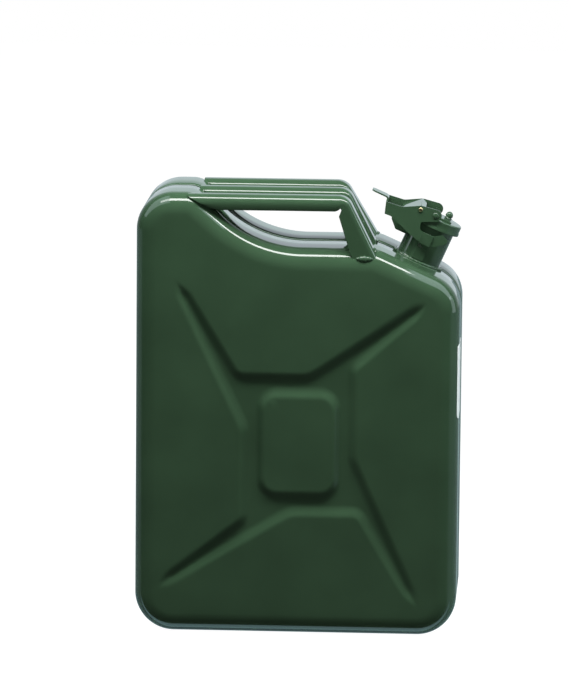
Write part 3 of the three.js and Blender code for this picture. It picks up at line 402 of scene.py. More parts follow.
def cross_rim(sizes):
    """Rim of the pressed cross, anticlockwise from the hump's arm, with rounded corners.

    Each arm is a taper about the line from its tip to its root beside the pad's corner, with a
    shorter taper beyond the tip in which the pressing fades out. Its two sides end where they meet
    the edges of the fields between the arms.
    """
    half, top, deck = extents(sizes)
    pad = np.array([PAD_X, deck / 2 - PAD_DROP])
    reach = np.array([PAD_WIDTH / 2 + MOAT_X, PAD_HEIGHT / 2 + MOAT_Z])
    near = np.array([PAD_WIDTH / 2 + ROOT_OUT, PAD_HEIGHT / 2 - NEAR_ROOT_BACK])
    far = np.array([PAD_WIDTH / 2 - FAR_ROOT_BACK, PAD_HEIGHT / 2 + ROOT_OUT])
    left = (pad - [reach[0], 0], np.array([0.0, 1.0]))
    right = (pad + [reach[0], 0], np.array([0.0, 1.0]))
    upper = (pad + [0, reach[1]], np.array([1.0, 0.0]))
    lower = (pad - [0, reach[1]], np.array([1.0, 0.0]))
    arms = [
        (np.array([HUMP_ARM[0] - half, top - HUMP_ARM[1]]), near * [-1, 1], (upper, left)),
        (np.array([LOW_ARM[0] - half, LOW_ARM[1]]), far * [-1, -1], (left, lower)),
        (np.array([half - SPOUT_LOW_ARM[0], SPOUT_LOW_ARM[1]]), near * [1, -1], (lower, right)),
        (np.array([half - SPOUT_ARM[0], deck - SPOUT_ARM[1]]), far * [1, 1], (right, upper)),
    ]
    corners = []
    for tip, root, edges in arms:
        along = unit(pad + root - tip)
        across = np.array([along[1], -along[0]])
        fade = [tip - ARM_FADE * along + side * across * ARM_END_WIDTH / 2 for side in (-1, 1)]
        starts = [tip + side * across * ARM_TIP_WIDTH / 2 for side in (-1, 1)]
        ends = [pad + root + side * across * ARM_ROOT_WIDTH / 2 for side in (-1, 1)]
        first, second = [
            line_crossing(start, end - start, *edge) for start, end, edge in zip(starts, ends, edges)
        ]
        corners += [first, starts[0], *fade, starts[1], second]
    radii = [FIELD_NEAR_RADIUS, ARM_FADE, ARM_END_WIDTH / 3, ARM_END_WIDTH / 3, ARM_FADE,
             FIELD_FAR_RADIUS] * len(arms)
    return rounded(corners, radii, 6)[0], pad


def plate_distance(away, half, radius):
    """Distance of places from a rectangle with rounded corners, negative inside it.

    With q = |p| - half + r: length of the part of q above 0, plus its greater part below 0, less r.
    """
    q = np.abs(away) - half + radius
    return np.linalg.norm(np.clip(q, 0, None), axis=1) + np.clip(q.max(1), None, 0) - radius


def press(sizes, points):
    """Depth of the pressing at points (x, z) of a panel.

    Depth times ease(d / run), with d the distance inside the cross's rim, times 1 - ease(i / (i + o))
    for the pad, with i the distance inside the pad's base and o the distance outside its flat. The
    mean of nine nearby places softens the creases.
    """
    rim, pad = cross_rim(sizes)
    base = np.array([PAD_WIDTH / 2, PAD_HEIGHT / 2])
    flat = base - [PAD_SIDE_RUN, PAD_END_RUN]
    run = sizes.press_run / MM
    soft = run / 8
    total = np.zeros(len(points))
    for dx in (-soft, 0, soft):
        for dz in (-soft, 0, soft):
            place = points + [dx, dz]
            cross = ease(inside_distance(place, rim) / run)
            inside = np.clip(-plate_distance(place - pad, base, PAD_BASE_RADIUS), 0, None)
            outside = np.clip(plate_distance(place - pad, flat, PAD_RADIUS), 0, None)
            total += cross * (1 - ease(inside / (inside + outside + 1e-9)))
    return sizes.press_depth / MM * total / 9


def enclosed(points, faces):
    """Six times the volume inside faces: the sum of a . (b x c) over fans of triangles."""
    total = 0.0
    for face in faces:
        for k in range(1, face.shape[1] - 1):
            a, b, c = points[face[:, 0]], points[face[:, k]], points[face[:, k + 1]]
            total += (a * np.cross(b, c)).sum()
    return total


def skin(grid, loop):
    """Points and faces of a closed body from a grid of rings, (rows, columns, 3), in millimetres.

    Rings are joined by quads. The first and last are closed by one face each, or joined to each
    other if loop. All faces are turned over if the enclosed volume comes out negative.
    """
    points = grid.reshape(-1, 3)
    index = np.arange(len(points)).reshape(grid.shape[:2])
    low = index if loop else index[:-1]
    high = np.roll(index, -1, 0) if loop else index[1:]
    quads = np.stack([low, high, np.roll(high, -1, 1), np.roll(low, -1, 1)], -1)
    faces = [quads.reshape(-1, 4)]
    if not loop:
        faces += [index[:1], index[-1:, ::-1]]
    if enclosed(points, faces) < 0:
        faces = [face[:, ::-1] for face in faces]
    return points, faces


def new_object(name, data):
    """New object for a mesh, lamp or camera, in the scene."""
    item = bpy.data.objects.new(name, data)
    bpy.context.scene.collection.objects.link(item)
    return item


def smooth(mesh, angle=SMOOTH_ANGLE):
    """Shades a mesh smooth but for the edges that turn by more than an angle."""
    mesh.shade_smooth()
    mesh.set_sharp_from_angle(angle=angle)


def add_mesh(name, grid, loop=False):
    """New object with the skin of a grid of rings as its mesh."""
    points, faces = skin(grid, loop)
    mesh = bpy.data.meshes.new(name)
    mesh.vertices.add(len(points))
    mesh.vertices.foreach_set("co", (points * MM).astype(np.float32).ravel())
    corners = np.concatenate([face.ravel() for face in faces]).astype(np.int32)
    counts = np.concatenate([np.full(len(face), face.shape[1]) for face in faces])
    mesh.loops.add(len(corners))
    mesh.loops.foreach_set("vertex_index", corners)
    mesh.polygons.add(len(counts))
    mesh.polygons.foreach_set("loop_start", (np.cumsum(counts) - counts).astype(np.int32))
    mesh.update(calc_edges=True)
    smooth(mesh)
    return new_object(name, mesh)


def finish_piece(piece, body, finish, *nodes):
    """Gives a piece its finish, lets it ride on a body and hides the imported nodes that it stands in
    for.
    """
    piece.data.materials.clear()
    piece.data.materials.append(finish_of(finish))
    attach(piece, body)
    if nodes:
        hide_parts(*nodes)


def neck_axes(sizes):
    """Origin of the neck on the shoulder, and its sideways and upward directions."""
    half, _, deck = extents(sizes)
    x = half - NECK_INSET
    z = deck - (x - half + SHOULDER_WIDTH) * math.tan(SHOULDER_ANGLE)
    side = np.array([math.cos(SHOULDER_ANGLE), 0, -math.sin(SHOULDER_ANGLE)])
    up = np.array([math.sin(SHOULDER_ANGLE), 0, math.cos(SHOULDER_ANGLE)])
    return np.array([x, 0, z]), side, up


def turned(sizes, profile, steps=96, offset=0.0):
    """Grid of a profile of (radius, height) turned round the neck's axis, moved sideways by offset.

    Point = origin + (offset + r cos a) side + r sin a Y + h up.
    """
    origin, side, up = neck_axes(sizes)
    radius, height = np.asarray(profile, float).T[..., None]
    angle = np.linspace(0, 2 * math.pi, steps, endpoint=False)
    flat = (offset + radius * np.cos(angle))[..., None] * side
    deep = (radius * np.sin(angle))[..., None] * np.array([0, 1, 0])
    return origin + flat + deep + height[..., None] * up


def fillet(centre, radius, start, end, steps):
    """Points of an arc in a profile, from one angle to another, in degrees."""
    angle = np.radians(np.linspace(start, end, steps + 1))
    return np.stack([centre[0] + radius * np.cos(angle), centre[1] + radius * np.sin(angle)], -1)


def tube(path, radius, columns=10):
    """Grid of rings of a radius, one value or one a point, round a path of points.

    The ring's two directions stand square to the path's own direction and to each other.
    """
    along = unit(np.gradient(path, axis=0))
    first = unit(np.cross(along, TUBE_GUIDE))
    second = np.cross(along, first)
    angle = np.linspace(0, 2 * math.pi, columns, endpoint=False)[None, :, None]
    size = np.broadcast_to(np.asarray(radius, float), len(path))[:, None, None]
    return path[:, None] + size * (first[:, None] * np.cos(angle) + second[:, None] * np.sin(angle))


def weld(path, radius, seed):
    """Grid of a hand-laid weld bead: a rippled tube that swells to its middle as sqrt(1 - u u)."""
    share = np.linspace(-1, 1, len(path))
    length = np.linalg.norm(np.diff(path, axis=0), axis=1).sum()
    ripple = sum(size * np.sin(share * length * rate + seed * k) for size, rate, k in WELD_RIPPLES)
    return tube(path, radius * (1 + ripple) * np.sqrt(np.clip(1 - share ** 2, 0.01, 1)), 16)


def feed(tree, node, inputs):
    """Sets inputs of a node to values, or links them to sockets."""
    for key, value in inputs.items():
        if isinstance(value, bpy.types.NodeSocket):
            tree.links.new(value, node.inputs[key])
        else:
            node.inputs[key].default_value = value


def node_adder(tree):
    """Function that adds a node with given inputs and settings to a tree."""

    def add(kind, inputs=None, **settings):
        node = tree.nodes.new(kind)
        for key, value in settings.items():
            setattr(node, key, value)
        feed(tree, node, inputs or {})
        return node

    return add


def new_material(name, make_inputs):
    """New material whose shader gets the inputs that a function of the node adder returns."""
    material = bpy.data.materials.new(name)
    material.use_nodes = True
    tree = material.node_tree
    feed(tree, tree.nodes["Principled BSDF"], make_inputs(node_adder(tree)))
    return material


def noise(add, scale, detail, roughness=0.5, stretch=None):
    """Noise over a piece, of a scale in cycles a metre, or stretched along the axes."""
    place = add("ShaderNodeTexCoord").outputs["Object"]
    if stretch:
        place = add("ShaderNodeMapping", {"Vector": place, "Scale": stretch}).outputs["Vector"]
    cloud = add("ShaderNodeTexNoise", {
        "Vector": place, "Scale": scale, "Detail": detail, "Roughness": roughness})
    return cloud.outputs["Fac"]


def shades(add, fac, low, high):
    """Colour that runs from one to another as a value goes from 0.3 to 0.7."""
    ramp = add("ShaderNodeValToRGB", {"Fac": fac})
    for stop, place, colour in zip(ramp.color_ramp.elements, (0.3, 0.7), (low, high)):
        stop.position = place
        stop.color = (*colour, 1)
    return ramp.outputs["Color"]


def between(add, fac, low, high):
    """Value that runs from low to high as another goes from 0.3 to 0.7."""
    spread = add("ShaderNodeMapRange", {
        "Value": fac, "From Min": 0.3, "From Max": 0.7, "To Min": low, "To Max": high})
    return spread.outputs["Result"]


def relief(add, height, strength, depth):
    """Normal of a surface with a pattern's height on it, at most a depth in metres."""
    bump = add("ShaderNodeBump", {"Height": height, "Strength": strength, "Distance": depth})
    return bump.outputs["Normal"]


def enamel_finish(add, colour):
    """Glossy stoved enamel: cloudy shade, soft handling marks in the gloss, fine orange peel."""
    return {
        "Base Color": shades(add, noise(add, 14.0, 3.0), colour * 0.9, colour * 1.1),
        "Roughness": between(add, noise(add, 55.0, 5.0, 0.65), 0.04, 0.08),
        "Normal": relief(add, noise(add, 420.0, 1.5), 0.03, 0.0004),
    }


def rubber_finish(add, colour):
    """Matt moulded rubber with a fine grain."""
    grain = noise(add, 900.0, 3.0)
    return {
        "Base Color": shades(add, grain, colour * 0.8, colour * 1.5),
        "Roughness": between(add, grain, 0.65, 0.85),
        "Normal": relief(add, grain, 0.25, 0.0002),
    }


def metal_finish(add, colour, low, high):
    """Bare turned metal: faint rings along the pin and a dull, uneven polish."""
    stain = noise(add, 260.0, 4.0)
    rings = noise(add, 1.0, 2.0, stretch=(40.0, 2600.0, 40.0))
    return {
        "Metallic": 1.0,
        "Base Color": shades(add, stain, colour * 0.75, colour * 1.05),
        "Roughness": between(add, stain, low, high),
        "Normal": relief(add, rings, 0.15, 0.0001),
    }


def paper_finish(add, colour):
    """Coated sticker paper with faint fibres."""
    fibre = noise(add, 700.0, 6.0, 0.7)
    return {
        "Base Color": shades(add, fibre, colour * 0.94, colour),
        "Roughness": between(add, fibre, 0.4, 0.55),
    }


FINISHES = {
    "enamel": enamel_finish,
    "rubber": rubber_finish,
    "zinc": lambda add, colour: metal_finish(add, colour, 0.3, 0.45),
    "brass": lambda add, colour: metal_finish(add, colour, 0.25, 0.4),
    "paper": paper_finish,
}


def finish_of(name):
    """The named finish, made the first time that it is asked for."""
    colour = np.array(getattr(bpy.context.scene.fuel_can_finish, name))
    made = bpy.data.materials.get("finish_" + name)
    return made or new_material("finish_" + name, lambda add: FINISHES[name](add, colour))


def edge_drop(sizes, y):
    """How far the shell's outside has turned in at a distance y from the seam: r - sqrt(r r - d d)."""
    radius = sizes.edge_radius / MM
    past = np.clip(np.abs(y) - (sizes.depth / MM / 2 - radius), 0, radius)
    return radius - np.sqrt(radius ** 2 - past ** 2)


def shell_grid(sizes):
    """Rings of one half shell, from the middle of its panel over the edge to the seam and back inside.

    A panel ring is centre + share (edge - centre), pressed in by the cross. A wall ring is the can's
    outline moved in along its normals. The inside is a plain lining behind the pressing.
    """
    radius = sizes.edge_radius / MM
    half = sizes.depth / MM / 2
    line, normals = can_outline(sizes)
    centre = cross_rim(sizes)[1]
    mate = SEAM_GAP / 2
    flange = mate + FLANGE_THICKNESS
    tip = GUTTER_DEPTH - FLANGE_RISE
    quarter = np.linspace(0, math.pi / 2, 14)
    round_edge = np.stack([
        radius - radius * np.sin(quarter), half - radius + radius * np.cos(quarter)], -1)
    slope = np.linspace(0, 1, 9)
    narrowing = (GUTTER_HALF_WIDTH - GUTTER_FLOOR_HALF) * slope
    gutter = np.stack([GUTTER_DEPTH * ease(slope), GUTTER_HALF_WIDTH - narrowing], -1)
    nib = FLANGE_THICKNESS / 3
    outside = np.concatenate([
        round_edge[1:],
        [(0, (half - radius + GUTTER_HALF_WIDTH) / 2)],
        gutter,
        [(GUTTER_DEPTH, flange + FLANGE_FILLET), (GUTTER_DEPTH - FLANGE_FILLET, flange)],
        [(tip + nib, flange)],
        [(tip + nib / 3, flange - nib / 3), (tip, flange - nib), (tip, mate)],
    ])
    lining = half - GUTTER_DEPTH - SHEET
    turn_in = np.linspace(math.pi / 2, math.acos((lining - half + radius) / (radius - SHEET)), 5)
    inside = np.concatenate([
        [(GUTTER_DEPTH + SHEET, mate), (GUTTER_DEPTH + SHEET, GUTTER_FLOOR_HALF + SHEET)],
        [(SHEET, GUTTER_HALF_WIDTH + SHEET)],
        np.stack([radius - (radius - SHEET) * np.sin(turn_in),
                  half - radius + (radius - SHEET) * np.cos(turn_in)], -1),
    ])
    inset, depth = np.concatenate([outside, inside]).T
    wall = line[None] - inset[:, None, None] * normals
    wall = np.stack([wall[..., 0], np.broadcast_to(-depth[:, None], wall.shape[:2]), wall[..., 1]], -1)
    share = np.interp(np.linspace(0, 1, PANEL_RINGS), RING_SHARES, RING_PLACES)
    flat = centre + share[:, None, None] * (line - radius * normals - centre)
    pressed = press(sizes, flat.reshape(-1, 2)).reshape(flat.shape[:2])
    panel = np.stack([flat[..., 0], pressed - half, flat[..., 1]], -1)
    back = wall[-1].copy()
    back[:, [0, 2]] = centre + RING_PLACES[0] * (back[:, [0, 2]] - centre)
    return np.concatenate([panel, wall, back[None]])


def cut(piece, cutter):
    """Takes the cutter's body out of a piece's mesh and removes the cutter."""
    change = piece.modifiers.new("neck_hole", "BOOLEAN")
    change.operation = "DIFFERENCE"
    change.solver = "MANIFOLD"
    change.object = cutter
    result = piece.evaluated_get(bpy.context.evaluated_depsgraph_get())
    mesh = bpy.data.meshes.new_from_object(result)
    piece.modifiers.clear()
    piece.data = mesh
    smooth(mesh)
    bpy.data.objects.remove(cutter)


class FUELCAN_OT_shells(bpy.types.Operator):
    """Make the two pressed half shells, with the hole for the neck"""

    bl_idname = "fuel_can.shells"
    bl_label = "Half shells"

    def execute(self, context):
        sizes = context.scene.fuel_can_sizes
        grid = shell_grid(sizes)
        hole = turned(sizes, [(NECK_HOLE, -NECK_HOLE_REACH), (NECK_HOLE, NECK_HOLE_REACH)], 72)
        for name, side in (("front", 1), ("rear", -1)):
            shell = add_mesh(name + "_half", grid * [1, side, 1])
            cut(shell, add_mesh("neck_cutter", hole))
            finish_piece(shell, "can", "enamel", name + "_shell")
        return {"FINISHED"}


class FUELCAN_OT_seam(bpy.types.Operator):
    """Make the rolled weld along the seam between the half shells"""

    bl_idname = "fuel_can.seam"
    bl_label = "Seam weld"

    def execute(self, context):
        sizes = context.scene.fuel_can_sizes
        line, normals = can_outline(sizes)
        origin, side, _ = neck_axes(sizes)
        line = line - (GUTTER_DEPTH - FLANGE_RISE) * normals
        gap = np.abs((line - origin[[0, 2]]) @ side[[0, 2]])
        under_neck = (gap < COLLAR_FLANGE + 1) & (line[:, 1] > sizes.height / MM / 2)
        free = np.roll(np.arange(len(line)), -np.flatnonzero(under_neck).max() - 1)
        free = free[~under_neck[free]]
        # The bead's section: height = rise sin a + lift, width = half width sign(cos a) sqrt |cos a|
        angle = np.linspace(0, 2 * math.pi, 12, endpoint=False)
        rise = SEAM_BEAD_RISE * np.sin(angle) + SEAM_BEAD_LIFT
        squared = np.sign(np.cos(angle)) * np.sqrt(np.abs(np.cos(angle)))
        wide = (FLANGE_THICKNESS + SEAM_GAP / 2) * squared
        place = line[free][:, None] + rise[None, :, None] * normals[free][:, None]
        deep = np.broadcast_to(wide, place.shape[:2])
        grid = np.stack([place[..., 0], deep, place[..., 1]], -1)
        finish_piece(add_mesh("seam_weld", grid), "can", "enamel")
        return {"FINISHED"}


def handle_line(sizes, name):
    """Stations of a handle: places (x, z), down directions, side heights, leg shares, in the notch.

    A straight from the hump, an arc of the bend radius through 90 degrees less the leg's lean, and
    a straight leg. The side's height is read off between the knots of its lower edge, which rises
    from the hump, turns up into the notch at the bend and widens down the leg.
    """
    shape = HANDLE_BENDS[name]
    lean, radius = shape["lean"], shape["radius"]
    half, can_top, deck = extents(sizes)
    top = can_top - HANDLE_DROP
    start = HUMP_WIDTH - half - shape["lap"]
    bend = math.pi / 2 - lean
    corner = half - shape["foot_inset"] - (top - deck) * math.tan(lean)
    turn_at = corner - radius * math.tan(bend / 2)
    leg_top = top - radius * (1 - math.cos(bend))
    straight = turn_at - start
    arc = radius * bend
    leg = (leg_top - deck + sizes.edge_radius / MM * HANDLE_SINK) / math.cos(lean)
    s = np.concatenate([
        np.linspace(0, 40, 18), np.linspace(48, straight - 8, 12),
        straight + np.linspace(-7, arc + 8, 60), straight + arc + np.linspace(10, leg, 14)])
    angle = np.clip((s - straight) / radius, 0, bend)
    past = np.clip(s - straight - arc, 0, None)
    x = start + np.minimum(s, straight) + radius * np.sin(angle) + past * math.sin(lean)
    z = top - radius * (1 - np.cos(angle)) - past * math.cos(lean)
    down = np.stack([-np.sin(angle), -np.cos(angle)], -1)
    lower_edge = [
        (0, HANDLE_END_HEIGHT),
        (23, HANDLE_HEIGHT - 1.6),
        (36, HANDLE_HEIGHT),
        (straight - 3, HANDLE_HEIGHT - 0.2),
        (straight, HANDLE_HEIGHT - 1.2),
        (straight + arc * 0.38, HANDLE_HEIGHT - 1.8),
        (straight + arc * 0.58, HANDLE_HEIGHT - 3),
        (straight + arc * 0.73, HANDLE_HEIGHT - 5.2),
        (straight + arc * 0.77, HANDLE_NOTCH_HEIGHT),
        (straight + arc + 5.3, HANDLE_LEG_TOP),
        (straight + arc + 45, HANDLE_LEG_FOOT),
    ]
    height = np.interp(s, *np.transpose(lower_edge))
    leg_share = ease((s - straight + 2) / arc)
    notch = (s > straight - 9) & (s < straight + arc + 13)
    return np.stack([x, z], -1), down, height, leg_share, notch


def half_channel(height, leg):
    """Outside, inside and lip of half of a handle's section at all stations, as [across, drop].

    It runs from the top over a quarter ellipse, across = h - a + a cos t and drop = b - b sin t,
    and down a side that tucks in by the square of its share. It ends at the side's height, on the
    ellipse where the height is less than b. The ellipse shrinks to the leg's corner.
    """
    height, leg = height[:, None], leg[:, None]
    wide, tall = [crown + (HANDLE_LEG_CORNER - crown) * leg for crown in HANDLE_CROWN]
    last = np.arcsin(np.clip(1 - height / tall, 0, 1))
    t = math.pi / 2 + (last - math.pi / 2) * np.linspace(0, 1, 12)
    share = np.linspace(0, 1, 7)[1:]
    below = np.clip(height - tall, 0.01, None) * share
    tuck = HANDLE_TUCK * (1 - leg) * np.clip((height - tall) / 4, 0, 1) * share ** 2
    sides = []
    for wall in (0, HANDLE_WALL):
        across = HANDLE_WIDTH / 2 - wide + (wide - wall) * np.cos(t)
        drop = tall - (tall - wall) * np.sin(t)
        sides.append(np.stack([
            np.concatenate([across, across[:, -1:] - tuck], 1),
            np.concatenate([drop, drop[:, -1:] + below], 1)], -1))
    outer, inner = sides
    return outer, inner, (outer[:, -1:] + inner[:, -1:]) / 2 + [0, 0.4]


def handle_grid(sizes, name, y):
    """Bent channel of even thickness carried along a handle's stations, its middle at y.

    The rear side's notch is longer than the front side's, so that it stays open from the front.
    """
    place, down, height, leg, notch = handle_line(sizes, name)
    rear_height = np.where(notch, np.minimum(height, HANDLE_NOTCH_HEIGHT), height)
    outer, inner, lip = half_channel(rear_height, leg)
    near_outer, near_inner, near_lip = [part * [-1, 1] for part in half_channel(height, leg)]
    ring = np.concatenate([
        outer[:, ::-1], near_outer, near_lip, near_inner[:, ::-1], inner, lip], 1)
    flat = place[:, None] + ring[..., 1:] * down[:, None]
    return np.stack([flat[..., 0], y + ring[..., 0], flat[..., 1]], -1)


def handle_rows(sizes):
    """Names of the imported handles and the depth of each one's middle."""
    pitch = sizes.depth / MM / 2 - HANDLE_EDGE_INSET - HANDLE_WIDTH / 2
    return {"front_handle": -pitch, "middle_handle": 0.0, "rear_handle": pitch}


class FUELCAN_OT_handles(bpy.types.Operator):
    """Make the three bent channel handles"""

    bl_idname = "fuel_can.handles"
    bl_label = "Handles"

    def execute(self, context):
        sizes = context.scene.fuel_can_sizes
        for name, y in handle_rows(sizes).items():
            grip = add_mesh(name.replace("handle", "grip"), handle_grid(sizes, name, y))
            finish_piece(grip, "can", "enamel", name)
        return {"FINISHED"}


def foot_welds(sizes, name, y):
    """Paths of the beads at a handle's foot: along the side's lower edge and across the leg's face.

    The leg's face lies at x = foot + (deck - z) tan(lean), and z follows the shell's outside.
    """
    lean = HANDLE_BENDS[name]["lean"]
    half = HANDLE_WIDTH / 2
    side_wall, _, deck = extents(sizes)
    foot = side_wall - HANDLE_BENDS[name]["foot_inset"]
    out = half if y > 0 else -half
    level = deck - edge_drop(sizes, y + out)
    face = foot + (deck - level) * math.tan(lean)
    x = np.linspace(face - HANDLE_LEG_FOOT, face - SIDE_WELD_STOP, 40)
    side = np.stack([x, np.full(40, y + out), np.full(40, level)], -1)
    across = y + half * np.linspace(*FACE_WELD_SPAN, 30)
    drop = edge_drop(sizes, across)
    front = np.stack([foot + drop * math.tan(lean) + WELD_LIFT, across, deck - drop], -1)
    return side, front


class FUELCAN_OT_welds(bpy.types.Operator):
    """Make the hand-laid weld beads at the handles' feet and round the neck's collar"""

    bl_idname = "fuel_can.welds"
    bl_label = "Weld beads"

    def execute(self, context):
        sizes = context.scene.fuel_can_sizes
        radius = sizes.weld_radius / MM
        for seed, (name, y) in enumerate(handle_rows(sizes).items()):
            side, face = foot_welds(sizes, name, y)
            for place, path, size in (("side", side, SIDE_WELD), ("face", face, FACE_WELD)):
                bead = weld(path, radius * size, seed + 1)
                finish_piece(add_mesh(name + "_" + place + "_weld", bead), "can", "enamel")
        # Round the collar the bead's radius is r (1 + 0.18 sin 31 a + 0.12 sin (13 a + 1))
        ring = turned(sizes, [(COLLAR_FLANGE, WELD_LIFT)], 160)[0]
        angle = np.linspace(0, 2 * math.pi, len(ring), endpoint=False)
        ripple = 1 + 0.18 * np.sin(31 * angle) + 0.12 * np.sin(13 * angle + 1)
        bead = tube(np.concatenate([ring[-1:], ring, ring[:1]]), radius * COLLAR_WELD)[1:-1]
        bead = ring[:, None] + (bead - ring[:, None]) * ripple[:, None, None]
        finish_piece(add_mesh("neck_weld", bead, True), "can", "enamel")
        return {"FINISHED"}


class FUELCAN_OT_neck(bpy.types.Operator):
    """Make the filler neck with its rolled lip, and its collar"""

    bl_idname = "fuel_can.neck"
    bl_label = "Filler neck"

    def execute(self, context):
        sizes = context.scene.fuel_can_sizes
        lip = (NECK_LIP + NECK_BORE) / 2
        roll = (NECK_LIP - NECK_BORE) / 2
        neck = np.concatenate([
            [(NECK_BORE, -NECK_DEPTH), (NECK_RADIUS, -NECK_DEPTH), (NECK_RADIUS, 8), (NECK_RADIUS, 30)],
            [(NECK_RADIUS, NECK_HEIGHT - NECK_LIP_DROP)],
            fillet((lip, NECK_HEIGHT - roll), roll, -35, 180, 14),
            [(NECK_BORE, 30), (NECK_BORE, 10)],
        ])
        collar = np.concatenate([
            [(COLLAR_BORE, -NECK_DEPTH), (COLLAR_SLEEVE, -NECK_DEPTH), (COLLAR_SLEEVE, 0.3)],
            [(COLLAR_FLANGE - 0.3, 0.3), (COLLAR_FLANGE, 0.6)],
            fillet((COLLAR_FLANGE + 0.1, COLLAR_HEIGHT + 0.1), COLLAR_FILLET, 262, 188, 7),
            [(COLLAR_BORE, COLLAR_HEIGHT)],
        ])
        finish_piece(add_mesh("filler_neck", turned(sizes, neck), True), "can", "enamel", "neck_tube")
        finish_piece(add_mesh("neck_ring", turned(sizes, collar), True), "can", "enamel", "neck_collar")
        return {"FINISHED"}


class FUELCAN_OT_cap(bpy.types.Operator):
    """Make the pressed cap, its seal and the domed stud on its bracket"""

    bl_idname = "fuel_can.cap"
    bl_label = "Cap"

    def execute(self, context):
        sizes = context.scene.fuel_can_sizes
        edge = (CAP_RADIUS - CAP_BORE) / 2
        flare_top = CAP_FOOT + CAP_FLARE_HEIGHT
        cap = np.concatenate([
            [(CAP_POLE, CAP_CEILING), (CAP_BORE - 1, CAP_CEILING), (CAP_BORE, CAP_CEILING - 1)],
            [(CAP_BORE, flare_top + 0.6), (CAP_BORE + 0.2, flare_top - 0.4)],
            fillet((CAP_BORE + CAP_FLARE + edge, CAP_FOOT + edge), edge, 180, 360, 6),
            [(CAP_RADIUS + CAP_FLARE - 0.1, CAP_FOOT + 1.3), (CAP_RADIUS + 0.35, flare_top - 0.5)],
            [(CAP_RADIUS, flare_top + 0.6)],
            fillet((CAP_RADIUS - CAP_EDGE_RADIUS, CAP_TOP - CAP_EDGE_RADIUS), CAP_EDGE_RADIUS, 0, 90, 8),
            [(10, CAP_TOP), (CAP_POLE, CAP_TOP)],
        ])
        seal_corners = [
            (SEAL_RADIUS - SEAL_EDGE, SEAL_FLOOR + SEAL_EDGE),
            (SEAL_RADIUS - SEAL_EDGE, SEAL_TOP - SEAL_EDGE),
            (SEAL_BORE + SEAL_EDGE, SEAL_TOP - SEAL_EDGE),
            (SEAL_BORE + SEAL_EDGE, SEAL_FLOOR + SEAL_EDGE),
        ]
        seal = np.concatenate([
            fillet(corner, SEAL_EDGE, 90 * k - 90, 90 * k, 3) for k, corner in enumerate(seal_corners)])
        dome = np.linspace(-0.2, 1.5, 14)
        dome_foot = STUD_FOOT + STUD_NECK
        stud = np.concatenate([
            [(STUD_POLE, STUD_FOOT), (STUD_RADIUS - 0.2, STUD_FOOT), (STUD_RADIUS, STUD_FOOT + 0.2)],
            [(STUD_RADIUS, STUD_FOOT + 1), (STUD_WAIST + 0.1, STUD_FOOT + 1.7)],
            [(STUD_WAIST, STUD_FOOT + 2), (STUD_WAIST, STUD_FOOT + 2.3)],
            [(STUD_WAIST + 0.1, STUD_FOOT + 2.6)],
            np.stack([
                STUD_RADIUS * np.cos(dome), dome_foot + (STUD_TOP - dome_foot) * np.sin(dome)], -1),
        ])
        finish_piece(add_mesh("cap_shell", turned(sizes, cap)), "cap", "enamel", "cap")
        finish_piece(add_mesh("seal_ring", turned(sizes, seal), True), "cap", "rubber", "cap_seal")
        knob = turned(sizes, stud, 40, STUD_OFFSET)
        finish_piece(add_mesh("domed_stud", knob), "cap", "enamel", "cap_stud")
        return {"FINISHED"}


def softened_copy(node, width, sharp):
    """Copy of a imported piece: loose triangles merged, flat areas joined, sharp edges rounded off."""
    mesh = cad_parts[node].data.copy()
    mesh.name = node + "_made"
    work = bmesh.new()
    work.from_mesh(mesh)
    bmesh.ops.remove_doubles(work, verts=work.verts, dist=MERGE_DISTANCE)
    bmesh.ops.dissolve_limit(work, verts=work.verts, edges=work.edges, angle_limit=FLAT_ANGLE)
    work.to_mesh(mesh)
    work.free()
    smooth(mesh, sharp)
    piece = new_object(node + "_made", mesh)
    bevel = piece.modifiers.new("rounded_edges", "BEVEL")
    bevel.width = width
    bevel.segments = 2
    bevel.limit_method = "ANGLE"
    bevel.angle_limit = sharp
    bevel.harden_normals = True
    return piece


class FUELCAN_OT_closure(bpy.types.Operator):
    """Make the lever, brackets, straps and pins of the closure"""

    bl_idname = "fuel_can.closure"
    bl_label = "Lever and brackets"

    def execute(self, context):
        sizes = context.scene.fuel_can_sizes
        for body, nodes in BENT_PIECES.items():
            for node in nodes:
                bent = softened_copy(node, sizes.sheet_bevel, SHEET_SHARP)
                finish_piece(bent, body, "enamel", node)
        for body, nodes in TURNED_PINS.items():
            for node, finish in nodes.items():
                pin = softened_copy(node, sizes.sheet_bevel / 2, PIN_SHARP)
                finish_piece(pin, body, finish, node)
        return {"FINISHED"}


class FUELCAN_OT_sticker(bpy.types.Operator):
    """Make the blank sticker on the spout side"""

    bl_idname = "fuel_can.sticker"
    bl_label = "Blank sticker"

    def execute(self, context):
        sizes = context.scene.fuel_can_sizes
        # A sheet on the side wall, drawn in at its corners by r - sqrt(r r - d d)
        height = np.linspace(STICKER_FOOT, STICKER_TOP, 40)
        to_end = np.minimum(height - STICKER_FOOT, STICKER_TOP - height)
        close = np.clip(STICKER_CORNER - to_end, 0, STICKER_CORNER)
        drawn_in = STICKER_CORNER - np.sqrt(STICKER_CORNER ** 2 - close ** 2)
        share = np.linspace(0, 1, 30)
        y = drawn_in[:, None] - STICKER_EDGE + share * (STICKER_WIDTH - 2 * drawn_in[:, None])
        surface = sizes.width / MM / 2 - edge_drop(sizes, y)
        outer = np.stack([surface + STICKER_LIFT, y, np.broadcast_to(height[:, None], y.shape)], -1)
        inner = outer - [STICKER_SHEET, 0, 0]
        grid = np.concatenate([outer, inner[:, ::-1]], 1)
        finish_piece(add_mesh("blank_sticker", grid), "can", "paper")
        return {"FINISHED"}


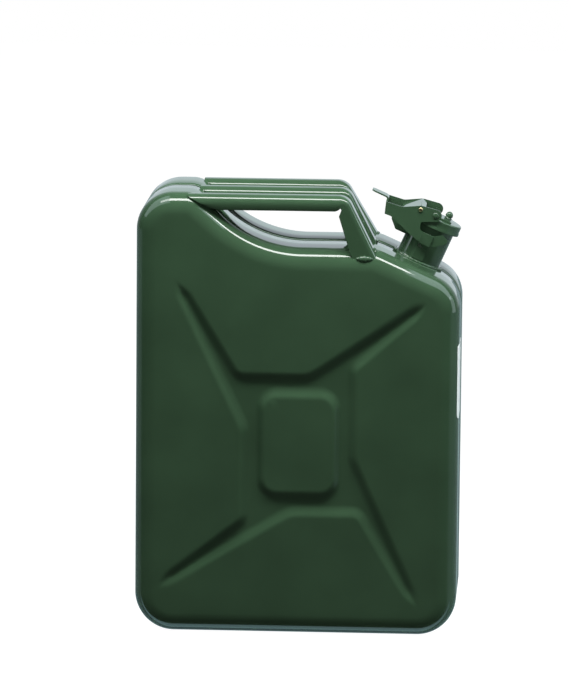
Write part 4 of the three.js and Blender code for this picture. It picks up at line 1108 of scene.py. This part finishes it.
def area_lamp(name, place, aim, size, power, colour, seen):
    """Soft rectangular lamp at a place, turned to aim, in metres and watts."""
    data = bpy.data.lights.new(name, "AREA")
    data.shape = "RECTANGLE"
    data.size, data.size_y = size
    data.energy = power
    data.color = colour
    lamp = new_object(name, data)
    lamp.location = place
    lamp.rotation_euler = (Vector(aim) - Vector(place)).to_track_quat("-Z", "Y").to_euler()
    lamp.visible_glossy = seen


def studio_world():
    """White to the camera; to the can, a room that is pale behind it and dark in front.

    The room's brightness is the product of a ramp along each axis of the direction, so that it is
    also dimmer to the left and overhead.
    """
    world = bpy.data.worlds.new("studio")
    bpy.context.scene.world = world
    world.use_nodes = True
    world.node_tree.nodes.clear()
    add = node_adder(world.node_tree)
    direction = add("ShaderNodeTexCoord").outputs["Generated"]
    split = add("ShaderNodeSeparateXYZ", {0: direction})
    level = 1.0
    for axis, (start, end, low, high) in ROOM_LEVELS.items():
        ramp = add("ShaderNodeMapRange", {
            "Value": split.outputs[axis], "From Min": start, "From Max": end,
            "To Min": low, "To Max": high})
        product = add("ShaderNodeMath", {0: level, 1: ramp.outputs["Result"]}, operation="MULTIPLY")
        level = product.outputs[0]
    room = add("ShaderNodeBackground", {"Color": ROOM_COLOUR, "Strength": level})
    white = add("ShaderNodeBackground", {"Color": (*WHITE, 1)})
    seen = add("ShaderNodeLightPath").outputs
    shown = add("ShaderNodeMath", {
        0: seen["Is Camera Ray"], 1: seen["Is Transmission Ray"]}, operation="MAXIMUM")
    mix = add("ShaderNodeMixShader", {0: shown.outputs[0], 1: room.outputs[0], 2: white.outputs[0]})
    add("ShaderNodeOutputWorld", {"Surface": mix.outputs[0]})


def floor_finish():
    """Pale matt floor that shows white to the camera but for the can's shadow, and dim in gloss."""
    material = new_material("pale_floor", lambda add: {
        "Base Color": (0.86, 0.87, 0.87, 1), "Roughness": 0.9, "Specular IOR Level": 0.1})
    tree = material.node_tree
    add = node_adder(tree)
    matt = tree.nodes["Principled BSDF"].outputs[0]
    seen = add("ShaderNodeLightPath").outputs
    glow = add("ShaderNodeEmission", {"Color": (*WHITE, 1), "Strength": 1.16}).outputs[0]
    dim = add("ShaderNodeEmission", {"Color": (0.7, 0.95, 1, 1), "Strength": 0.35}).outputs[0]
    shown = add("ShaderNodeMath", {0: seen["Is Camera Ray"], 1: 0.85}, operation="MULTIPLY")
    white = add("ShaderNodeMixShader", {0: shown.outputs[0], 1: matt, 2: glow})
    mix = add("ShaderNodeMixShader", {0: seen["Is Glossy Ray"], 1: white.outputs[0], 2: dim})
    feed(tree, tree.nodes["Material Output"], {"Surface": mix.outputs[0]})
    return material


def flat_sheet(name, corners, height, material):
    """Flat object of the given corners (x, y) at a height, in metres."""
    mesh = bpy.data.meshes.new(name)
    mesh.from_pydata([(*corner, height) for corner in corners], [], [range(len(corners))])
    mesh.materials.append(material)
    return new_object(name, mesh)


def card(name, corners, glow):
    """Dark card just above the floor, with a teal glow or none, that only reflections show."""
    material = new_material(name, lambda add: {
        "Base Color": (0.02, 0.02, 0.02, 1), "Roughness": 1.0, "Specular IOR Level": 0.0,
        "Emission Color": (*TEAL, 1), "Emission Strength": glow})
    flag = flat_sheet(name, corners, CARD_LIFT, material)
    flag.visible_camera = False
    flag.visible_shadow = False
    flag.visible_diffuse = glow == 0


def photo_camera():
    """Camera at the photo's place: a long lens, a little above and to the right of the can's middle.

    The view direction is turned so that the can lies right of and below the frame's middle.
    """
    level = math.cos(CAMERA_PITCH)
    back = Vector((math.sin(CAMERA_YAW) * level, -math.cos(CAMERA_YAW) * level, math.sin(CAMERA_PITCH)))
    flat_right = Vector((0, 0, 1)).cross(back).normalized()
    flat_up = back.cross(flat_right)
    right = flat_right * math.cos(CAMERA_ROLL) + flat_up * math.sin(CAMERA_ROLL)
    up = flat_up * math.cos(CAMERA_ROLL) - flat_right * math.sin(CAMERA_ROLL)
    look = (-back * FOCAL_PIXELS - right * AIM_LEFT + up * AIM_UP).normalized()
    right = look.cross(up).normalized()
    up = right.cross(look)
    data = bpy.data.cameras.new("photo_camera")
    data.sensor_width = SENSOR
    data.lens = FOCAL_PIXELS / FRAME_PIXELS * SENSOR
    data.clip_end = 60
    camera = new_object("photo_camera", data)
    turn = Matrix((right, up, -look)).transposed()
    camera.matrix_world = Matrix.Translation(CAMERA_TARGET + back * CAMERA_DISTANCE) @ turn.to_4x4()
    bpy.context.scene.camera = camera


class FUELCAN_OT_stage(bpy.types.Operator):
    """Make the floor, studio light and camera"""

    bl_idname = "fuel_can.stage"
    bl_label = "Stage"

    def execute(self, context):
        context.scene.view_settings.view_transform = "Standard"
        studio_world()
        reach = FLOOR_REACH
        corners = [(-reach, -reach), (reach, -reach), (reach, FLOOR_BACK), (-reach, FLOOR_BACK)]
        floor = flat_sheet("floor", corners, 0, floor_finish())
        side = shell_high.x
        start = shell_low.y + CARD_START
        change = shell_low.y + CARD_CHANGE
        card("black_card", [(-reach, -reach), (reach, -reach), (reach, start - CARD_SLANT),
                            (side, start), (-reach, start)], 0)
        for name, near, far, glow in (("white_card", start, change, 1.55),
                                      ("base_card", change, -start, 0.36)):
            corners = [(-CARD_HALF, near), (CARD_HALF, near), (CARD_HALF, far), (-CARD_HALF, far)]
            card(name, corners, glow)
        for name, lamp in LAMPS.items():
            area_lamp(name, *lamp)
        photo_camera()
        return {"FINISHED"}


OPERATORS = (
    FUELCAN_OT_shells,
    FUELCAN_OT_seam,
    FUELCAN_OT_handles,
    FUELCAN_OT_welds,
    FUELCAN_OT_neck,
    FUELCAN_OT_cap,
    FUELCAN_OT_closure,
    FUELCAN_OT_sticker,
    FUELCAN_OT_stage,
)


class FUELCAN_PT_pieces(bpy.types.Panel):
    """Sizes, colours and pieces of the fuel can"""

    bl_idname = "FUELCAN_PT_pieces"
    bl_label = "Fuel can"
    bl_space_type = "VIEW_3D"
    bl_region_type = "UI"
    bl_category = "Fuel can"

    def draw(self, context):
        for group in (context.scene.fuel_can_sizes, context.scene.fuel_can_finish):
            for name in group.__annotations__:
                self.layout.prop(group, name)
        for operator in OPERATORS:
            self.layout.operator(operator.bl_idname)


CLASSES = (FuelCanSizes, FuelCanFinish, *OPERATORS, FUELCAN_PT_pieces)


def register():
    """Registers the classes and hangs the sizes and colours on the scene."""
    for item in CLASSES:
        bpy.utils.register_class(item)
    bpy.types.Scene.fuel_can_sizes = bpy.props.PointerProperty(type=FuelCanSizes)
    bpy.types.Scene.fuel_can_finish = bpy.props.PointerProperty(type=FuelCanFinish)


def unregister():
    """Takes the sizes, colours and classes off again."""
    del bpy.types.Scene.fuel_can_finish
    del bpy.types.Scene.fuel_can_sizes
    for item in reversed(CLASSES):
        bpy.utils.unregister_class(item)


def main():
    """Makes the pieces in order."""
    register()
    for operator in OPERATORS:
        group, name = operator.bl_idname.split(".")
        getattr(getattr(bpy.ops, group), name)()


if __name__ == "__main__":
    main()
